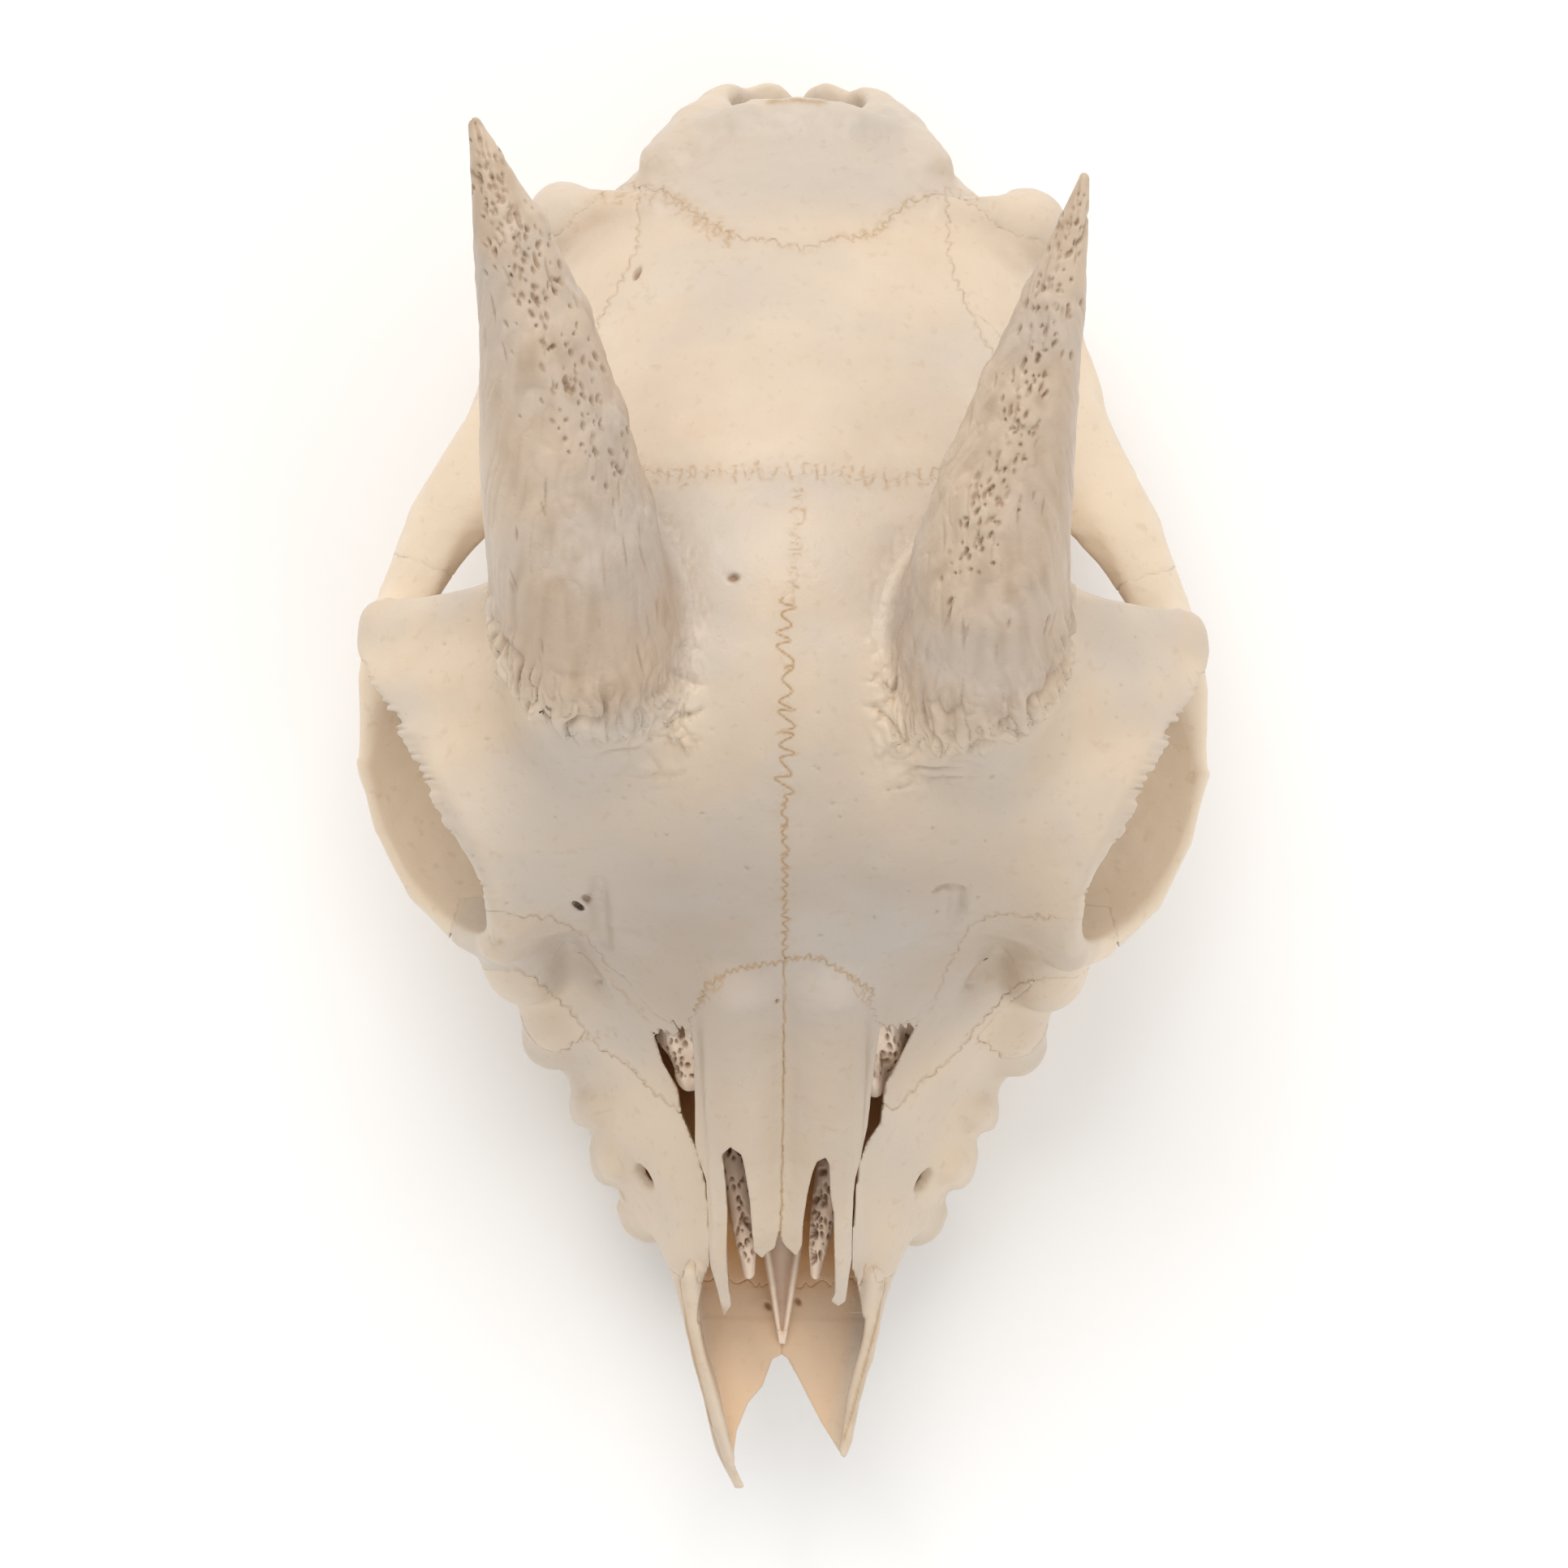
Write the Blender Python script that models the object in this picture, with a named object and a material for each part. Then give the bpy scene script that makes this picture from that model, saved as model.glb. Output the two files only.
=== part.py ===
"""Goat skull without its lower jaw, life-size, lying on its teeth and jugular processes.

X is the skull's left and right, the nose points to -Y, +Z is up and the floor is z = 0.
The whole skull is first modelled as one body of clay: a block of distances to its
surface, to which soft forms are added and from which hollows are cut. It is then
parted along its sutures into the separate bones.
"""
import math

import bmesh
import bpy
import numpy as np
import openvdb
from mathutils import Matrix, Vector

# All sizes and places are in millimetres. CELL is the fineness of the clay, FAR the
# largest distance it keeps and TRIANGLES about how many faces the parted skull is cut from.
MM = 0.001
CELL = 1.0
FAR = 12.0
SUTURE_GAP = 0.3
FLOOR = 0.0
SLIVER = 0.03
FLAT_ANGLE = 0.8
TRIANGLES = 6500

# Driving dimensions.
SKULL_LENGTH = 189.0
CROWN_HEIGHT = 92.0
CORONAL_Y = 40.0
LAMBDA_Y = 71.0
GUM_HEIGHT = 12.5

# Cross-sections of the central body, from nose to nape: place along Y, half width,
# lowest and widest and highest level, squareness below and above the widest level.
BODY = (
    (-SKULL_LENGTH / 2 - 0.4, 6.0, 22.8, 24.8, 27.0, 2.0, 2.0),
    (-90.0, 8.8, 21.8, 25.0, 28.4, 2.0, 2.0),
    (-82.0, 10.6, 20.5, 25.5, 31.5, 2.2, 1.8),
    (-73.0, 13.2, 19.5, 26.0, 36.0, 2.2, 1.7),
    (-65.0, 15.6, 18.5, 26.5, 40.5, 2.4, 1.7),
    (-58.0, 19.6, 15.5, 23.0, 45.0, 2.8, 1.5),
    (-50.0, 25.2, 13.5, 21.0, 49.8, 3.6, 1.35),
    (-40.0, 28.6, 13.5, 24.0, 56.6, 3.6, 1.32),
    (-31.0, 33.6, 14.0, 29.0, 64.0, 2.6, 1.35),
    (-22.0, 34.0, 14.0, 37.0, 71.0, 2.2, 1.6),
    (-12.0, 29.0, 15.0, 50.0, 78.5, 2.0, 2.3),
    (-2.0, 25.0, 18.0, 62.0, 85.0, 1.7, 2.5),
    (8.0, 23.5, 22.0, 64.0, 90.0, 1.7, 2.6),
    (18.0, 26.5, 23.0, 62.0, CROWN_HEIGHT, 1.8, 2.5),
    (28.0, 29.5, 22.0, 56.0, 91.3, 1.9, 2.4),
    (CORONAL_Y, 32.0, 21.0, 50.0, 86.0, 2.0, 2.3),
    (55.0, 33.0, 20.0, 45.0, 75.0, 2.1, 2.2),
    (68.0, 32.0, 20.0, 41.0, 61.8, 2.1, 2.3),
    (77.0, 26.5, 20.5, 37.0, 52.5, 2.1, 2.3),
    (84.0, 17.5, 21.5, 33.0, 44.0, 2.1, 2.2),
    (90.0, 9.0, 24.0, 30.0, 36.0, 2.0, 2.0),
)

# The brow plate over the orbit: place along Y, reach to the side, level of its rim.
BROW = (
    (-19.0, 34.5, 61.5), (-13.0, 40.5, 69.5), (-8.0, 43.8, 75.0), (-2.0, 45.6, 78.5),
    (7.0, 50.2, 76.5), (13.0, 54.0, 72.5), (17.5, 55.2, 67.5), (23.5, 51.4, 66.0),
)
BROW_THICK = 3.4
BROW_FALL = 2.4
BROW_SINK = 2.0

# The orbit: the ring's centre, the way it faces, its half lengths and its depth.
ORBIT_CENTRE = (48.0, -3.0, 61.0)
ORBIT_FACING = (0.87, -0.42, 0.26)
ORBIT_RADII = (19.2, 17.2, 24.0)
ORBIT_WALL = 3.4
ORBIT_SINK = 6.0
ORBIT_MOUTH = 6.5

# Rods of clay on the left half, each through points of x, y, z and radius. The rim below
# the orbit, the cheek, the zygomatic arch with its two roots, the bar behind the orbit
# and the shelf from the brow to the horn.
LOWER_RIM = (
    (36, -20, 58, 3.2), (41.5, -19, 51.5, 3.2), (47.2, -14, 46.5, 3.2), (51.4, -6, 44.5, 3.2),
    (53.2, 4, 44.5, 3.2), (53.4, 13, 46, 3.2), (52.0, 21, 47, 3.2),
)
CHEEK = ((30.8, -31.5, 33, 4.2), (38.4, -18.5, 38, 4.6), (47.6, -8, 41, 4.0), (52, 5, 42, 3.2))
ARCH = (
    (51.6, 14, 46, 4.6), (49.8, 25, 46, 6.0), (45.6, 35, 46, 6.8), (41.2, 43, 45.5, 6.6),
    (37.2, 51, 45, 6.0), (32, 57, 44, 6.6),
)
ARCH_SHELF = ((46.8, 30, 47.5, 4.0), (42.0, 38, 48.5, 6.2), (36.0, 47, 48.5, 7.0), (30, 54, 46, 6.0))
ARCH_ROOT = ((34, 60, 40, 5.0), (36, 53, 41, 5.0), (33, 49, 37, 5.0))
REAR_BAR = ((52.8, 19.0, 65, 4.2), (52.8, 19.0, 57, 3.8), (52.0, 18.5, 49, 4.6))
HORN_SHELF = ((48.4, 20, 68.5, 2.4), (41, 21.5, 76, 3.0), (32, 24, 81, 4.4))
# The ridge that holds the teeth, the beam of the skull's base and the plate by the throat.
GUM_RIDGE = (
    (18.6, -54, 18.0, 4.8), (22.6, -38, 20.0, 7.0), (24.6, -18, 21.0, 8.0), (24.0, -2, 22.5, 7.4),
    (20.5, 5, 26, 5.4),
)
BASE_BEAM = ((0, 86, 25, 6.0), (0, 72, 25, 7.5), (0, 55, 26, 8.0), (0, 30, 30, 8.0), (0, 12, 36, 8.0))
THROAT_PLATE = ((13.5, 1, 20, 4.0), (12.2, 14, 22, 6.5), (11.4, 26, 25, 6.5), (11.0, 36, 28, 4.5))
# The ear's tube, the crests across and down the nape, the condyle and the jugular process.
EAR_TUBE = ((25, 61, 30, 5.0), (34.0, 60.5, 37, 4.0))
NAPE_CREST = ((31.6, 75.4, 44, 2.6), (26, 76.4, 49.5, 2.2), (18, 76.6, 54.6, 2.2), (9, 74.5, 58.5, 2.2),
              (0, 73.6, 60, 2.6))
NAPE_RIDGE = ((0, 74, 58, 2.6), (0, 81, 48, 2.2), (0, 84.5, 43, 1.6))
CONDYLE = ((16.2, 82.0, 41, 4.8), (11.9, 85.6, 34, 6.0), (9.0, 88.8, 27, 5.4), (4.6, 88.6, 23.5, 4.0))
JUGULAR = ((21.5, 76, 30, 5.4), (23.2, 77, 14, 4.4), (23.8, 77, -2, 3.2))
# Hollowed out: throat, palate, ear canal and the canal of the infraorbital foramen.
THROAT = ((0, 34, 22, 7.0), (0, 16, 21.5, 8.0), (0, 0, 27, 6.0))
PALATE = ((0, -90, 12.5, 7.0), (0, -62, 9, 11.0), (0, -35, 6.5, 15.5), (0, 2, 7.5, 15.0))
EAR_CANAL = ((40, 60, 39, 2.2), (28, 61, 34, 2.0))
FACE_CANAL = ((25.5, -60, 30.5, 1.6), (18.5, -50, 29.5, 2.6))
# Inside the nose: the lower turbinate and the vomer.
CONCHA = ((9.5, -26, 37, 4.6), (8.2, -44, 33.5, 4.4), (7.0, -56, 31.5, 3.8), (5.8, -65, 30, 2.4))
VOMER = ((0, -27, 27, 4.6), (0, -56, 26.5, 4.4), (0, -66, 25.6, 3.0), (0, -74, 24.4, 1.6))

# Balls of clay: centre, half lengths and turn in degrees. The side wall by the orbit's
# front, the ear's capsule, the socket of the jaw and the mastoid, then two hollows: the
# foramen magnum and the pit of the lacrimal bone.
ORBIT_FRONT = ((34.5, -22, 45), (6.4, 8.0, 11.0))
BULLA = ((19.5, 60, 19.5), (6.4, 10.5, 8.5), (0, 0, 12))
JAW_SOCKET = ((30, 53.5, 38), (8.5, 6.5, 4.0))
MASTOID = ((30.6, 74.6, 41), (4.6, 4.8, 7.0))
FORAMEN_MAGNUM = ((0, 91, 32), (9.0, 26, 8.0))
TEAR_PIT = ((31.5, -25.5, 52.5), (5.0, 6.5, 3.2), (0, -48, 0))

# Paths of the horn cores from root to tip: x, y, z and the radius across.
HORN_LEFT = (
    (25.4, 14.0, 81.0, 12.2), (26.1, 19.0, 89.0, 11.4), (27.2, 27.0, 96.5, 10.3),
    (28.9, 37.0, 103.0, 8.8), (31.1, 49.0, 109.0, 6.6), (33.6, 61.0, 113.5, 4.2),
    (35.6, 71.0, 116.5, 2.0), (36.5, 77.0, 118.0, 0.7),
)
HORN_RIGHT = (
    (-24.4, 14.0, 81.0, 12.2), (-24.9, 20.0, 89.0, 11.9), (-26.3, 31.0, 98.5, 11.2),
    (-28.3, 43.0, 105.5, 9.7), (-31.0, 56.0, 112.0, 7.4), (-34.4, 68.0, 117.0, 4.9),
    (-38.1, 77.6, 120.0, 2.2), (-40.2, 82.6, 121.3, 0.8),
)
HORN_DEPTH = 1.22

# Cheek teeth from front to back: length of each crown and its width.
TEETH = ((7.0, 6.5), (8.0, 8.0), (8.2, 9.0), (10.5, 10.5), (12.0, 11.5), (12.3, 11.0))
TOOTH_LINE = ((19.0, -57.0), (23.6, -36.0), (25.2, -18.0), (24.4, 1.0))
TOOTH_ROOT = 7.0
TOOTH_SIDES = 12
# Height up the tooth and swell of its outline there.
TOOTH_RINGS = ((FLOOR, 0.9), (5.0, 1.0), (GUM_HEIGHT + TOOTH_ROOT, 0.8))
TOOTH_SQUARE = 0.7
TOOTH_WAIST = 0.14
TWO_LOBES_OVER = 9.0

NOSE_FLOOR = 24.6
NOSE_WALL = 2.4
NOSE_FRONT = -76.0
NOSE_REAR = -27.0
# The open channel in front of the nose: place along Y and half width.
CHANNEL = ((-97.0, 5.0), (-90.0, 7.2), (-82.0, 8.8), (-73.0, 11.0), (-66.0, 12.0))
CHANNEL_REAR = -71.5

# How far up its path each horn core parts from the frontal bone, and how far its room
# reaches beyond its sides.
HORN_ROOT = 6.5
HORN_FLARE = 1.4
HORN_SIDES = 24
# The exact solver leaves open edges on these blocks, the manifold one doesn't.
SOLVER = "MANIFOLD"

# The bones, each as blocks with an outline from above (x, y of the left side) and one
# from the side (y, z), in the order in which they are parted off.
BONE_COLOUR = (0.79, 0.68, 0.55)
HORN_COLOUR = (0.55, 0.45, 0.36)
FACE_COLOUR = (0.72, 0.62, 0.52)
ARCH_COLOUR = (0.84, 0.71, 0.53)
INNER_COLOUR = (0.68, 0.52, 0.40)
BASE_COLOUR = (0.76, 0.65, 0.51)
ROOF = ((-100, 44), (-20, 55), (-9, 51), (3, 49), (14, 54), (26, 57), (36, 64), (60, 70), (60, 140),
        (-100, 140))
LEFT, RIGHT = 1, -1
OPENINGS = (
    # Slit between the nasal bone and its prong, and the open front of the nose.
    (((0, -60), (1.2, -62), (2.3, -63), (3.0, -62), (3.4, -59), (4.0, -55), (4.6, -51.5),
      (5.3, -49.4), (6.2, -48.6), (6.7, -50.5), (7.0, -55), (7.3, -60), (7.4, -66), (7.0, -69.5),
      (8.0, -70.6), (8.6, -68), (9.2, -65), (10.2, -66.7), (11.2, -72), (11.2, -78), (0, -78)),
     ((-80, 29), (-70, 31), (-60, 36), (-46, 40), (-46, 140), (-80, 140)), (LEFT, RIGHT)),
    # Gap between the nasal bone, the frontal bone and the maxilla.
    (((12.5, -32.3), (17.6, -31.9), (13.6, -43.0), (10.6, -50.5), (11.6, -44.0)),
     ((-52, 36), (-30, 46), (-30, 140), (-52, 140)), (LEFT, RIGHT)),
    # Notch between the premaxillae, whose left tip is the shorter one.
    (((-1.0, -77.2), (1.2, -77.4), (3.2, -81.0), (6.0, -86.3), (8.0, -89.4), (9.0, -90.6), (13.0, -90.6),
      (13.0, -99.0), (-1.0, -99.0)), None, (LEFT,)),
    (((-1.0, -77.2), (0.8, -77.6), (2.2, -81.4), (4.2, -83.8), (5.6, -87.5), (5.8, -91.0), (5.0, -93.2),
      (4.2, -94.2), (4.2, -99.0), (-1.0, -99.0)), None, (RIGHT,)),
)
BONES = {
    "nasal": ([(((0, -23.4), (3.0, -22.9), (6.2, -23.9), (9.6, -26.0), (11.4, -28.6), (12.4, -32),
                 (12.0, -36), (11.4, -46), (10.4, -50), (9.7, -54), (9.5, -60), (9.0, -65), (8.8, -75),
                 (0, -75)),
                ((-76, 27), (-50, 39), (-21, 56), (-21, 140), (-76, 140)))], FACE_COLOUR),
    "frontal": ([(((0, -21), (0, CORONAL_Y), (60, CORONAL_Y), (60, -17), (37, -17), (34.5, -17.6),
                   (30, -17.2), (26, -19), (23.6, -22), (22, -25.5), (19.5, -29.5), (17.6, -31.9), (12, -34),
                   (0, -34)),
                  ROOF)], FACE_COLOUR),
    "parietal": ([(((-1, CORONAL_Y), (31, CORONAL_Y), (30, 50), (27, 56), (24.8, 61), (21.8, 67.2),
                    (20.6, 71), (20.2, 78.9), (15.4, 77.6), (12, 74.6), (8.3, 72.4), (2, LAMBDA_Y),
                    (-1, LAMBDA_Y)),
                   ((38, 58), (60, 50), (72, 44), (90, 40), (90, 140), (38, 140)))], BONE_COLOUR),
    "occipital": ([(((-1, LAMBDA_Y), (2, LAMBDA_Y), (8.3, 72.4), (12, 74.6), (15.4, 77.6), (20.2, 78.9),
                     (24.2, 78), (28.3, 74.6), (32.5, 72.4), (42, 72.4), (42, 99), (-1, 99)),
                    ((60, 33), (99, 33), (99, 140), (60, 140))),
                   (((-1, 44), (6.4, 44), (8.4, 56), (10.4, 66), (17, 71), (42, 69.4), (42, 99), (-1, 99)),
                    ((38, -9), (99, -9), (99, 35), (38, 35)))], BONE_COLOUR),
    "lacrimal": ([(((12, -36), (17.6, -31.9), (22, -25.5), (26, -19), (30, -15), (40.4, -13), (41.4, -21.5),
                    (38.6, -24.6), (35.8, -24.8), (32, -27), (27.5, -31), (23.7, -35.8), (19.5, -38.8),
                    (15.8, -42.5), (12, -43)),
                   ((-46, 34), (-25, 40), (-15, 50), (-12, 80), (-46, 80)))], FACE_COLOUR),
    "zygomatic": ([(((35.8, -20.5), (33, -26), (28, -30), (30, -36), (36, -39), (64, -39), (64, 34),
                     (44, 27), (41, 10), (36, -8)),
                    ((-40, 34), (-22, 31), (-5, 33), (10, 34), (40, 34), (40, 62), (-40, 62)))],
                  ARCH_COLOUR),
    "temporal": ([(((5.0, 48), (13, 43), (22, 38), (30, 30), (43, 19), (66, 26), (66, 85), (5.0, 85)),
                   ((14, -9), (90, -9), (90, 62), (68, 63), (54, 59), (43, 53), (30, 55), (14, 55)))],
                 ARCH_COLOUR),
    "concha": ([(((2.8, -33), (2.8, -67), (10.4, -67), (10.4, -33)),
                 ((-67, 25.2), (-33, 25.2), (-33, 42.5), (-67, 32.6)))], INNER_COLOUR),
    "vomer": ([(((-1, -32), (2.7, -32), (2.7, -77), (-1, -77)),
                ((-77, NOSE_FLOOR + 0.2), (-32, NOSE_FLOOR + 0.2), (-32, 34), (-77, 34)))], INNER_COLOUR),
    "premaxilla": ([(((0, -68), (11, -67), (12.4, -64.4), (15, -66), (22, -67), (22, -99), (0, -99)),
                     None)], BONE_COLOUR),
    "palatine": ([(((0, -15), (9.5, -15), (16.5, -4), (16.5, 40), (8.4, 40), (8.4, 6), (0, 6)),
                   ((-16, -9), (41, -9), (41, 27), (-16, 27)))], BASE_COLOUR),
    "maxilla": ([(((0, -70), (30, -70), (45, -40), (45, 12), (0, 12)),
                  ((-71, -9), (12, -9), (12, 30), (-4, 42), (-16, 62), (-50, 62), (-71, 56)))],
                BONE_COLOUR),
}
MIDDLE_BONES = ("parietal", "occipital", "vomer")


def remove_everything():
    for thing in list(bpy.data.objects):
        bpy.data.objects.remove(thing, do_unlink=True)


def new_collection(name):
    folder = bpy.data.collections.new(name)
    bpy.context.scene.collection.children.link(folder)
    return folder


def new_object(name, mesh, folder):
    thing = bpy.data.objects.new(name, mesh)
    folder.objects.link(thing)
    return thing


def smooth_curve(places, values, at):
    """Reads a smooth curve through the values at the given places."""
    places = np.asarray(places, np.float64)
    values = np.asarray(values, np.float64)
    slopes = np.gradient(values, places, axis=0)
    i = np.clip(np.searchsorted(places, at) - 1, 0, len(places) - 2)
    step = places[i + 1] - places[i]
    t = np.clip((at - places[i]) / step, 0.0, 1.0)
    start = values[i] * (1 + 2 * t) * (1 - t) ** 2 + slopes[i] * step * t * (1 - t) ** 2
    end = values[i + 1] * t ** 2 * (3 - 2 * t) + slopes[i + 1] * step * t ** 2 * (t - 1)
    return start + end


def smooth_min(a, b, blend):
    near = np.maximum(blend - np.abs(a - b), 0.0) / blend
    return np.minimum(a, b) - near * near * blend * 0.25


class Clay:
    """A block of distances to the surface of what has been modelled so far."""

    def __init__(self, low, high):
        self.axes = [np.arange(a, b + CELL, CELL, dtype=np.float32) for a, b in zip(low, high)]
        self.depth = np.full([len(axis) for axis in self.axes], FAR, np.float32)

    def window(self, low, high, margin):
        part = tuple(
            slice(np.searchsorted(axis, a - margin), np.searchsorted(axis, b + margin))
            for axis, a, b in zip(self.axes, low, high)
        )
        spans = [axis[s] for axis, s in zip(self.axes, part)]
        return part, np.meshgrid(*spans, indexing="ij", sparse=True)

    def add(self, form, blend=1.0):
        low, high, distance = form
        part, place = self.window(low, high, blend + CELL)
        self.depth[part] = smooth_min(self.depth[part], distance(*place), blend)

    def cut(self, form, blend=1.0):
        low, high, distance = form
        part, place = self.window(low, high, blend + CELL)
        self.depth[part] = -smooth_min(-self.depth[part], distance(*place), blend)

    def mirrored(self):
        """The whole skull from its left half, whose first slice lies on the middle plane."""
        whole = Clay((0, 0, 0), (0, 0, 0))
        across = self.axes[0]
        whole.axes = [np.concatenate((-across[:0:-1], across)), self.axes[1], self.axes[2]]
        whole.depth = np.concatenate((self.depth[:0:-1], self.depth), axis=0)
        return whole

    def skin(self, name, folder):
        """A closed mesh over the clay."""
        grid = openvdb.FloatGrid(FAR)
        grid.copyFromArray(np.clip(self.depth, -FAR, FAR))
        points, quads = grid.convertToQuads()
        points = points * CELL + [axis[0] for axis in self.axes]
        mesh = bpy.data.meshes.new(name)
        mesh.from_pydata(points * MM, [], quads)
        return new_object(name, mesh, folder)


def ball(centre, radii, turn=(0.0, 0.0, 0.0)):
    """An ellipsoid, turned by three angles in degrees."""
    centre = np.array(centre, float)
    radii = np.array(radii, float)
    reach = radii.max() if any(turn) else radii
    frame = np.eye(3)
    for axis, degrees in enumerate(turn):
        c, s = math.cos(math.radians(degrees)), math.sin(math.radians(degrees))
        j, k = (axis + 1) % 3, (axis + 2) % 3
        step = np.eye(3)
        step[j, j], step[j, k], step[k, j], step[k, k] = c, -s, s, c
        frame = step @ frame

    def distance(x, y, z):
        p = (x - centre[0], y - centre[1], z - centre[2])
        q = [frame[0, i] * p[0] + frame[1, i] * p[1] + frame[2, i] * p[2] for i in range(3)]
        near = np.sqrt(sum((q[i] / radii[i]) ** 2 for i in range(3))) + 1e-6
        steep = np.sqrt(sum((q[i] / radii[i] ** 2) ** 2 for i in range(3))) + 1e-6
        return near * (near - 1) / steep

    return centre - reach, centre + reach, distance


def rod(path, flat=(0.0, 0.0, 1.0), thin=1.0):
    """A tapering rod along points of x, y, z, radius, thinner along one direction."""
    path = np.array(path, float)
    flat = np.array(flat, float) / np.linalg.norm(flat)
    squeeze = 1.0 / thin
    reach = path[:, 3:4]

    def distance(x, y, z):
        nearest = None
        for a, b in zip(path[:-1], path[1:]):
            along = b[:3] - a[:3]
            p = (x - a[0], y - a[1], z - a[2])
            t = (p[0] * along[0] + p[1] * along[1] + p[2] * along[2]) / along.dot(along)
            t = np.clip(t, 0.0, 1.0)
            q = [p[i] - t * along[i] for i in range(3)]
            across = q[0] * flat[0] + q[1] * flat[1] + q[2] * flat[2]
            extra = (squeeze * squeeze - 1.0) * across * across
            size = a[3] + t * (b[3] - a[3])
            d = np.sqrt(q[0] ** 2 + q[1] ** 2 + q[2] ** 2 + extra) - size
            nearest = d if nearest is None else np.minimum(nearest, d)
        return nearest

    return (path[:, :3] - reach).min(axis=0), (path[:, :3] + reach).max(axis=0), distance


def body_form():
    """The central body, a loft through its cross-sections."""
    table = np.array(BODY)
    places = table[:, 0]

    def distance(x, y, z):
        row = smooth_curve(places, table[:, 1], y), smooth_curve(places, table[:, 2], y)
        wide, high = smooth_curve(places, table[:, 3], y), smooth_curve(places, table[:, 4], y)
        square = smooth_curve(places, table[:, 5], y), smooth_curve(places, table[:, 6], y)
        rise = z - wide
        above = rise > 0
        n = np.where(above, square[1], square[0])
        tall = np.where(above, high - wide, wide - row[1])
        away = np.sqrt(x * x + rise * rise) + 1e-4
        across, up = np.abs(x) / away + 1e-5, np.abs(rise) / away + 1e-5
        edge = ((across / row[0]) ** n + (up / tall) ** n) ** (-1.0 / n)
        side = (away - edge) * 0.9
        return np.maximum(np.maximum(side, places[0] - y), y - places[-1])

    low = (-table[:, 1].max(), places[0], table[:, 2].min())
    high = (table[:, 1].max(), places[-1], table[:, 4].max())
    return low, high, distance


def roof_level(y):
    table = np.array(BODY)
    return smooth_curve(table[:, 0], table[:, 4], y)


def brow_form():
    """The plate of the frontal bone that roofs the orbit and ends in the rear process."""
    table = np.array(BROW)
    places = table[:, 0]

    def distance(x, y, z):
        reach = smooth_curve(places, table[:, 1], y)
        rim = smooth_curve(places, table[:, 2], y)
        crown = roof_level(y)
        share = np.clip(np.abs(x) / reach, 0.0, 1.15)
        sunk = BROW_SINK * (1.0 - share) ** 2
        level = crown - (crown - rim) * share ** BROW_FALL - BROW_THICK / 2 - sunk
        sheet = np.abs(z - level) * 0.85 - BROW_THICK / 2
        edge = np.maximum(np.abs(x) - reach, np.maximum(places[0] - y, y - places[-1]))
        return -smooth_min(-sheet, -edge, 1.6)

    low = (0, places[0], table[:, 2].min() - BROW_THICK)
    high = (table[:, 1].max(), places[-1], CROWN_HEIGHT + BROW_THICK)
    return low, high, distance


def orbit_frame():
    facing = np.array(ORBIT_FACING) / np.linalg.norm(ORBIT_FACING)
    along = np.cross((0.0, 0.0, 1.0), facing)
    along = along / np.linalg.norm(along)
    upward = np.cross(facing, along)
    return facing, along, upward


def orbit_form(grow=0.0, cup=False):
    """The round hollow of the orbit, or with cup the wall of its front and lower part."""
    facing, along, upward = orbit_frame()
    centre = np.array(ORBIT_CENTRE) - ORBIT_SINK * facing
    axes = (along, upward, facing)
    radii = np.array(ORBIT_RADII) + grow

    def distance(x, y, z):
        p = (x - centre[0], y - centre[1], z - centre[2])
        q = [a[0] * p[0] + a[1] * p[1] + a[2] * p[2] for a in axes]
        near = np.sqrt(sum((q[i] / radii[i]) ** 2 for i in range(3))) + 1e-6
        steep = np.sqrt(sum((q[i] / radii[i] ** 2) ** 2 for i in range(3))) + 1e-6
        d = near * (near - 1) / steep
        if cup:
            mouth = q[2] - ORBIT_MOUTH
            rear = q[0] - ORBIT_SINK - 0.25 * q[2]
            d = -smooth_min(-d, -np.maximum(mouth, rear), 2.0)
        return d

    reach = radii.max()
    return centre - reach, centre + reach, distance


def channel_form():
    """The open channel of the nose in front of the nasal bones, down to its floor."""
    places, reaches = np.array(CHANNEL).T

    def distance(x, y, z):
        reach = smooth_curve(places, reaches, y)
        return np.maximum(np.maximum(np.abs(x) - reach, NOSE_FLOOR - z), y - CHANNEL_REAR)

    return (-max(reaches), places[0], NOSE_FLOOR), (max(reaches), CHANNEL_REAR, 60.0), distance


def nose_hollow_form():
    """The nasal cavity behind the channel, as far as the openings show it."""
    body = body_form()[2]

    def distance(x, y, z):
        ends = np.maximum(y - NOSE_REAR, NOSE_FRONT - y)
        return np.maximum(np.maximum(body(x, y, z) + NOSE_WALL, NOSE_FLOOR - z), ends)

    return (-35.0, NOSE_FRONT, NOSE_FLOOR), (35.0, NOSE_REAR, 70.0), distance


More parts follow.
